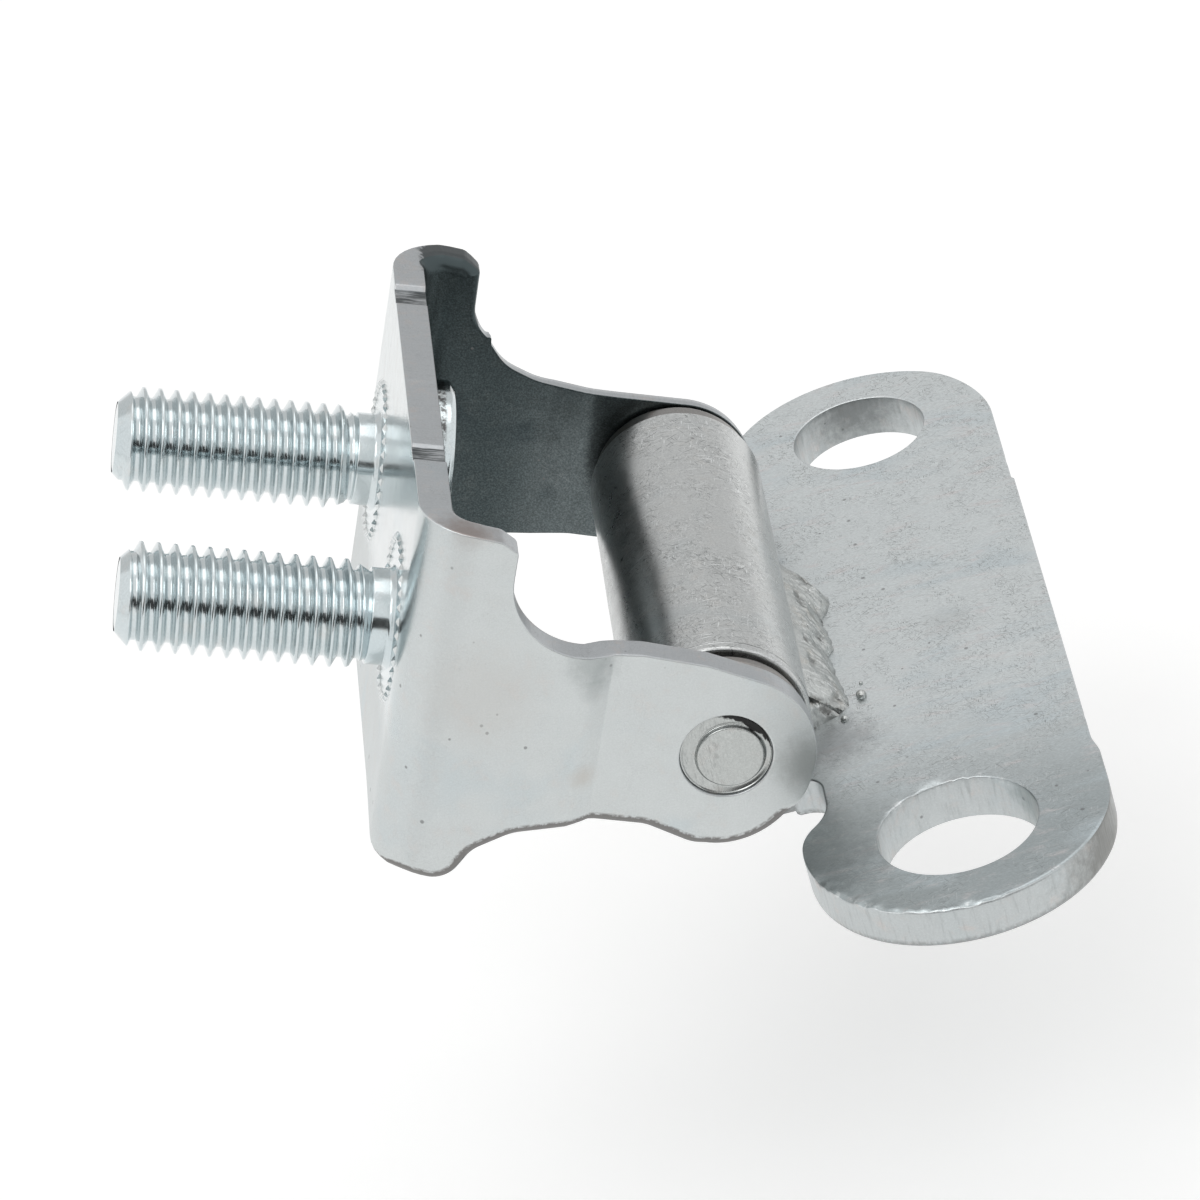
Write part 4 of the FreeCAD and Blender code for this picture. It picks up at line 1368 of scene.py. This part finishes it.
@dataclass
class Knuckle:
    """The barrel with its flanged bushes, and the riveted pin."""

    radius: float = 6.7
    bore: float = 5.0
    half_length: float = 17.7
    near_length: float = 18.2
    end_round: float = 0.25
    flange: float = 6.25
    flange_face: float = 19.55
    groove: float = 5.4
    bush_length: float = 12.0
    pin_radius: float = 4.0
    clearance: float = 0.03
    rivet_edge: float = 3.34
    rivet_shift: Point = (0.34, -0.12)
    # Middle angle and spread of the painted shade crescent on the rivet end.
    crescent: Point = (62, 56)
    ear_inner: float = 19.9
    ear_outer: float = 22.3

    def build(self, finishes: Finishes) -> None:
        """Make the barrel, the bushes and the pin."""
        along = Matrix.Rotation(math.radians(-90), 4, "X")
        seat = pin_frame() @ along
        half = self.half_length
        barrel = Turning([
            (self.bore, -self.near_length, 0.2), (self.radius - 0.05, -self.near_length, self.end_round),
            (self.radius - 0.05, -self.near_length + 0.75, 0.2), (self.radius, -self.near_length + 0.85, 0.2),
            (self.radius, half, self.end_round), (self.bore, half, 0.2),
        ], closed=True, segments=192, step=0.3).build("knuckle_barrel_dressed", seat, finishes.barrel)
        self.wobble(barrel)
        place(new_object("knuckle_barrel_dressed", barrel), Body.LEAF, Slot.ZINC, "knuckle_barrel")
        hole = self.pin_radius + self.clearance
        for label, sign, step in (("near", -1, self.near_length), ("far", 1, half)):
            section = [
                (hole, sign * (half - self.bush_length), 0.1), (self.bore, sign * (half - self.bush_length), 0.1),
                (self.bore, sign * step, 0), (self.groove, sign * step, 0),
                (self.groove, sign * (step + 0.45), 0), (self.flange, sign * (step + 0.45), 0.1),
                (self.flange, sign * self.flange_face, 0.35), (hole, sign * self.flange_face, 0.1),
            ]
            bush = Turning(section, closed=True, segments=128).build(f"bush_{label}_dressed", seat, finishes.bush)
            place(new_object(f"bush_{label}_dressed", bush), Body.LEAF, Slot.BUSH, f"bush_{label}")
        tip = self.ear_outer - 0.1
        end = [
            (0, tip, 0), (2.42, tip, 0.1), (2.6, tip - 0.34, 0.12), (3.2, tip - 0.22, 0.15),
            (3.385, tip - 0.12, 0.05), (3.385, self.ear_inner, 0),
        ]
        shank = [(self.pin_radius, self.ear_inner, 0.15), (self.pin_radius, -self.ear_inner, 0.15)]
        section = end + shank + [(r, -z, c) for r, z, c in end[::-1]]
        pin = Turning(section, closed=False, segments=128, step=0.15).build(
            "hinge_pin_dressed", along, finishes.pin)
        dark = pin.attributes.new("wear_and_shade", "FLOAT", "POINT")
        for vertex in pin.vertices:
            x, y, z = vertex.co
            around = math.hypot(x, z)
            # Painted shade: a dark crescent in the rivet end's recess, towards the upper right.
            if abs(y) > self.ear_inner + 0.5 and around < self.rivet_edge:
                middle, spread = self.crescent
                arc = max(0.0, 1 - abs(math.degrees(math.atan2(z, x)) - middle) / spread)
                dark.data[vertex.index].value = 2 * min(1.0, 2.5 * arc) * (3.3 - 0.8 * arc < around < 3.37)
                share = min(1.0, (self.rivet_edge - around) / 0.6)
                vertex.co.x += self.rivet_shift[0] * share
                vertex.co.z += self.rivet_shift[1] * share
        pin.transform(bracket_frame())
        place(new_object("hinge_pin_dressed", pin), Body.BRACKET, Slot.STEEL, "hinge_pin")

    @staticmethod
    def wobble(mesh: bpy.types.Mesh) -> None:
        """Give the barrel the slight waves of drawn tube."""
        for vertex in mesh.vertices:
            out = Vector((vertex.co.x / MM + PIN_REACH, 0, vertex.co.z / MM - PIN_HEIGHT))
            if out.length > 6.3:
                wave = noise.noise(Vector((out.x * 0.25, vertex.co.y / MM * 0.12, out.z * 0.25)))
                vertex.co += out.normalized() * wave * 0.03 * MM


@dataclass
class Stud:
    """One M8 stud: head inside the plate, serrated collar in it, neck, thread and point."""

    label: str
    side: int
    reach: float = 11.9
    height: float = 3.2
    plate_outer: float = -24.4
    sheet: float = 2.4
    neck: float = 3.55
    neck_length: float = 1.7
    collar: float = 6.0
    head: float = 6.6
    head_thickness: float = 3.0
    length: float = 20.0
    turn: float = 0.0

    def build(self, finishes: Finishes, thread: GeometryTree, serration: GeometryTree) -> None:
        """Make the stud as one piece."""
        outwards = Matrix.Rotation(math.radians(-90), 4, "Y") @ Matrix.Rotation(self.turn, 4, "Z")
        foot = Matrix.Translation((self.plate_outer, self.reach * self.side, self.height))
        seat = bracket_frame() @ foot @ outwards
        inner = -self.sheet - self.head_thickness
        body = Turning([
            (0, inner, 0), (self.head - 0.35, inner, 0.3), (self.head, inner + 0.35, 0.3),
            (self.head, inner + 0.9, 0), (self.head, inner + 0.95, 0), (self.head, -self.sheet - 0.01, 0.05),
            (self.collar - 0.06, -self.sheet - 0.01, 0), (self.collar - 0.06, -0.02, 0.04),
            (self.neck + 0.35, 0.0, 0.2), (self.neck, 0.35, 0.25), (self.neck, self.neck_length, 0.1),
            (3.0, self.neck_length + 0.05, 0), (0, self.neck_length + 0.05, 0),
        ], closed=False, segments=128).build(f"stud_{self.label}_body", seat, finishes.stud)
        worn_or_shaded = body.attributes.new("wear_and_shade", "FLOAT", "POINT")
        back = seat.inverted()
        for vertex in body.vertices:
            local = back @ vertex.co
            on_side = math.hypot(local.x, local.y) > self.head - 0.08
            worn_or_shaded.data[vertex.index].value = float(on_side and -self.sheet - 2.2 < local.z < -self.sheet)
        winding = thread.run(
            f"stud_{self.label}_thread", seat, Finish=finishes.stud, Pitch=1.25, Crest=4.0, Root=3.23,
            Start=self.neck_length, End=self.length, Point=2.72, Windings=17, Steps=64)
        end = self.length
        tip = Turning(
            [(0, end, 0), (2.4, end, 0.2), (2.725, end - 0.06, 0.05), (2.67, end - 0.5, 0)],
            closed=False, segments=64,
        ).build(f"stud_{self.label}_tip", seat, finishes.stud)
        teeth = serration.run(
            f"stud_{self.label}_teeth", seat, Finish=finishes.serration, Count=37, Ring=self.collar - 0.02,
            Length=0.62, Width=0.7, Height=0.22, Lift=0.1)
        mesh = join_meshes(f"stud_{self.label}_dressed", (body, winding, tip, teeth))
        stud = new_object(f"stud_{self.label}_dressed", mesh)
        wedge = mesh.materials.find(finishes.serration.name)
        for polygon in mesh.polygons:
            polygon.use_smooth = polygon.material_index != wedge
        place(stud, Body.BRACKET, Slot.BRIGHT, f"stud_{self.label}")


@dataclass
class WeldBead:
    """A flat striated weld fillet laid along the barrel, with a crevice, a crack and spatter."""

    name: str
    node: str
    leaf_edge: list[Point]
    barrel_angle: float
    seed: float
    foot_height: float = 3.42
    corner_height: float = 3.0
    bulge: float = 0.3
    skin: float = 6.62
    corner_reach: float = 4.4
    rows: int = 260
    columns: int = 46
    crack: tuple[Point, Point] | None = None
    spatter: tuple[tuple[float, float, float, float], ...] = ()

    def build(self, finishes: Finishes) -> bpy.types.Object:
        """Make the bead and place it on the leaf's body."""
        edge = np.array(self.leaf_edge)
        shell = bmesh.new()
        worn_or_shaded = shell.verts.layers.float.new("wear_and_shade")
        ends = edge[:, 1].min(), edge[:, 1].max()
        rings: list[list[bmesh.types.BMVert]] = []
        for row in range(self.rows + 1):
            y = ends[0] + (ends[1] - ends[0]) * row / self.rows
            swell = math.sqrt(max(0.0, 1 - abs(2 * row / self.rows - 1) ** 5))
            reach = float(np.interp(y, edge[:, 1], edge[:, 0]))
            ring = []
            for column in range(self.columns + 1):
                share = column / self.columns
                place_at, wear_and_shade = self.surface(y, reach, swell, share)
                ring.append(shell.verts.new(place_at))
                ring[-1][worn_or_shaded] = wear_and_shade
            rings.append(ring)
        for low, high in zip(rings, rings[1:]):
            for i in range(self.columns):
                shell.faces.new((low[i], low[i + 1], high[i + 1], high[i]))
            shell.faces.new((low[-1], low[0], high[0], high[-1]))
        shell.faces.new(rings[0][::-1])
        shell.faces.new(rings[-1])
        for x, y, z, radius in self.spatter:
            made = bmesh.ops.create_icosphere(shell, subdivisions=3, radius=radius)
            for vertex in made["verts"]:
                lump = 1 + 0.25 * noise.noise(vertex.co * 2.2 + Vector((x, y, z)))
                vertex.co = vertex.co * lump + Vector((x, y, z))
        mesh = bpy.data.meshes.new(self.name)
        outward(shell, leaf_frame(), mesh)
        mesh.materials.append(finishes.weld)
        return place(new_object(self.name, mesh), Body.LEAF, Slot.WELD, self.node)

    def off_crack(self, x: float, y: float) -> float:
        """Depth share of the crack at a place seen from above, 1 on its line."""
        if self.crack is None:
            return 0.0
        start, end = (Vector(point) for point in self.crack)
        run = end - start
        along = min(1.0, max(0.0, (Vector((x, y)) - start).dot(run) / run.length_squared))
        away = (Vector((x, y)) - start - run * along).length + 0.25 * noise.noise(Vector((x, y, 5)))
        return max(0.0, 1 - abs(away) / 0.28)

    def surface(self, y: float, reach: float, swell: float, share: float) -> tuple[Vector, float]:
        """A point of the bead's skin from the leaf (share 0) to the barrel (share 1), and its painted shade in
        crevice, crack and creases.
        """
        seed = Vector((self.seed, 0, 0))
        jag = 0.2 * noise.noise(Vector((y * 1.1, 2.0, 0)) + seed) * min(1.0, swell * 1.5)
        foot = Vector((reach + jag, y, self.foot_height))
        angle = math.radians(self.barrel_angle)
        root = Vector((self.skin * math.sin(angle) - PIN_REACH, y, PIN_HEIGHT - self.skin * math.cos(angle)))
        corner = Vector((self.corner_reach - PIN_REACH, y, self.corner_height))
        base = foot.lerp(root, share)
        base = corner.lerp(base, 0.25 + 0.75 * swell)
        out = Vector((0.62, 0, 0.78))
        arch = math.sin(math.pi * share) * (1 - share ** 3)
        warp = 1.1 * noise.noise(Vector((y * 0.35, share * 1.6, 4)) + seed)
        ripple = math.sin((y + 1.1 * share * share + warp) * 8.6) + 0.6 * math.sin((y * 1.3 - share + warp) * 15.0)
        lumps = noise.noise(Vector((share * 2.4, y * 0.35, 0)) + seed)
        rough = noise.turbulence(Vector((share * 6.0, y * 1.6, 1.7)) + seed, 4, False)
        crease = max(0.0, noise.noise(Vector((share * 3.1, y * 0.6, 9.2)) + seed) - 0.16) * (share < 0.7)
        crack = self.off_crack(base.x, base.y)
        rise = arch * (self.bulge + 0.3 * lumps + 0.035 * ripple)
        rise += (0.08 * rough - 0.5 * crease - 0.3 * crack) * min(1.0, arch * 2.2)
        # Painted shade in the crevice along the leaf, in the crack and in the creases.
        gutter = max(0.0, 1 - share / 0.07) * (0.55 + 0.9 * noise.noise(Vector((y * 0.8, 0, 3)) + seed))
        return base + out * rise * swell, min(1.0, max(gutter, crack, min(1.0, crease * 2.2)))


# Studio


@dataclass(frozen=True)
class CameraPlan:
    """The photograph's camera, in degrees and millimetres about the pin."""

    azimuth: float = 3.755
    elevation: float = 30.435
    roll: float = -16.487
    lens: float = 169.128
    place: Place = (2.116, -366.509, 227.509)

    def build(self) -> None:
        """Make the camera and set it as the scene's."""
        az, el, roll = (math.radians(a) for a in (self.azimuth, self.elevation, self.roll))
        back = Vector((math.sin(az) * math.cos(el), -math.cos(az) * math.cos(el), math.sin(el)))
        right = Vector((math.cos(az), math.sin(az), 0))
        up = back.cross(right)
        turned_right = right * math.cos(roll) + up * math.sin(roll)
        turned_up = up * math.cos(roll) - right * math.sin(roll)
        data = bpy.data.cameras.new("photo_camera")
        data.lens, data.sensor_width, data.sensor_fit = self.lens, 36.0, "AUTO"
        data.clip_start, data.clip_end = 0.01, 20.0
        camera = linked("photo_camera", data)
        turn = Matrix((turned_right, turned_up, back)).transposed().to_4x4()
        camera.matrix_world = Matrix.Translation(Vector(self.place) * MM) @ turn
        bpy.context.scene.camera = camera


@dataclass(frozen=True)
class Panel:
    """A flat panel round the object, seen only in reflections."""

    name: str
    centre: Place
    size: Point
    level: float


@dataclass(frozen=True)
class Studio:
    """Pale floor, white surroundings, a dark and a grey panel, and two soft lamps; in metres."""

    floor_level: float = -0.038
    floor_half: float = 3.0
    world_level: float = 0.62
    floor_lift: float = 0.28
    panels: tuple[Panel, ...] = (
        Panel("front_flag", (0.0, -1.1, 0.22), (2.4, 0.5), 0.05),
        Panel("back_panel", (0.0, 1.5, 0.85), (3.4, 1.7), 0.72),
    )

    def build(self) -> None:
        """Make the floor, the world, the panels and the lamps."""
        self.make_world()
        self.make_floor()
        for panel in self.panels:
            self.make_panel(panel)
        self.make_lamp("key_lamp", (-0.35, -0.45, 0.95), (0.75, 0.55), 2.6)
        self.make_lamp("top_lamp", (0.3, 0.35, 1.1), (0.9, 0.7), 1.4)
        bpy.context.scene.view_settings.view_transform = "Standard"

    def make_world(self) -> None:
        """White to the eye and in reflections, softer as a light."""
        world = bpy.data.worlds.new("studio")
        bpy.context.scene.world = world
        world.use_nodes = True
        world.node_tree.nodes.clear()
        net = Wiring(world.node_tree)
        level = net.plus(self.world_level, net.times(net.seen(), 1 - self.world_level))
        ground = net.node("ShaderNodeBackground", {"Color": WHITE, "Strength": level})
        net.node("ShaderNodeOutputWorld", {0: ground.outputs[0]})

    def make_floor(self) -> None:
        """A wide plain floor, lifted to white where no shadow falls."""
        mesh = flat_quad("floor", self.floor_half, self.floor_half, self.floor_level)
        material = bpy.data.materials.new("pale_floor")
        material.use_nodes = True
        net = Wiring(material.node_tree)
        surface = material.node_tree.nodes["Principled BSDF"]
        for label, value in (
            ("Base Color", (0.9, 0.9, 0.895)), ("Roughness", 0.9), ("Emission Color", WHITE),
            ("Emission Strength", net.times(net.seen(), self.floor_lift)),
        ):
            net.feed(surface.inputs[label], value)
        mesh.materials.append(material)
        linked("floor", mesh)

    @staticmethod
    def make_panel(panel: Panel) -> None:
        """One flat panel of a given brightness facing the object."""
        mesh = flat_quad(panel.name, panel.size[0] / 2, panel.size[1] / 2)
        material = bpy.data.materials.new(panel.name)
        material.use_nodes = True
        material.node_tree.nodes.clear()
        net = Wiring(material.node_tree)
        glow = net.node("ShaderNodeEmission", {"Color": WHITE, "Strength": panel.level})
        net.node("ShaderNodeOutputMaterial", {0: glow.outputs[0]})
        mesh.materials.append(material)
        made = linked(panel.name, mesh)
        made.location = panel.centre
        made.rotation_euler = Vector(panel.centre).to_track_quat("Z", "Y").to_euler()
        made.visible_camera = False
        made.visible_diffuse = False
        made.visible_shadow = False

    @staticmethod
    def make_lamp(name: str, centre: Place, size: Point, power: float) -> None:
        """One soft rectangular lamp aimed at the object."""
        data = bpy.data.lights.new(name, "AREA")
        data.shape, data.size, data.size_y, data.energy = "RECTANGLE", size[0], size[1], power
        lamp = linked(name, data)
        lamp.location = centre
        lamp.rotation_euler = Vector(centre).to_track_quat("Z", "Y").to_euler()


TOP_BEAD_EDGE: list[Point] = [
    (-7.4, -12.7), (-6.6, -11.8), (-5.3, -11.2), (-5.0, -10.2), (-5.4, -8.9), (-5.9, -6.9), (-6.1, -4.9),
    (-6.3, -2.9), (-5.9, -2.0), (-5.8, -0.9), (-6.1, 0.9), (-6.2, 2.6), (-5.3, 4.4), (-5.2, 5.2), (-6.1, 7.2),
    (-7.1, 8.3), (-8.2, 9.9),
]


def main() -> None:
    """Build the studio and every sub-assembly in order."""
    logging.basicConfig(level=logging.INFO, format="%(name)s: %(message)s")
    CameraPlan().build()
    Studio().build()
    Effects.build_all()
    finishes = Finishes.build()
    Leaf().build(finishes)
    Bracket().build(finishes)
    Knuckle().build(finishes)
    thread, serration = thread_tree(), serration_tree()
    Stud("near", -1, turn=0.6).build(finishes, thread, serration)
    Stud("far", 1, turn=2.9).build(finishes, thread, serration)
    WeldBead(
        "weld_bead_top_dressed", "weld_bead_top", TOP_BEAD_EDGE, 74, 3.7, crack=((-8.6, -11.5), (-5.0, -10.5)),
        spatter=(
            (-4.6, -9.4, 3.6, 0.4), (-5.6, 5.4, 3.5, 0.25), (-4.4, -7.6, 3.5, 0.15), (-6.2, -12.0, 3.55, 0.3),
        ),
    ).build(finishes)
    root_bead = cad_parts["weld_bead_root"]
    root_bead.data.materials.clear()
    root_bead.data.materials.append(finishes.weld)


if __name__ == "__main__":
    main()
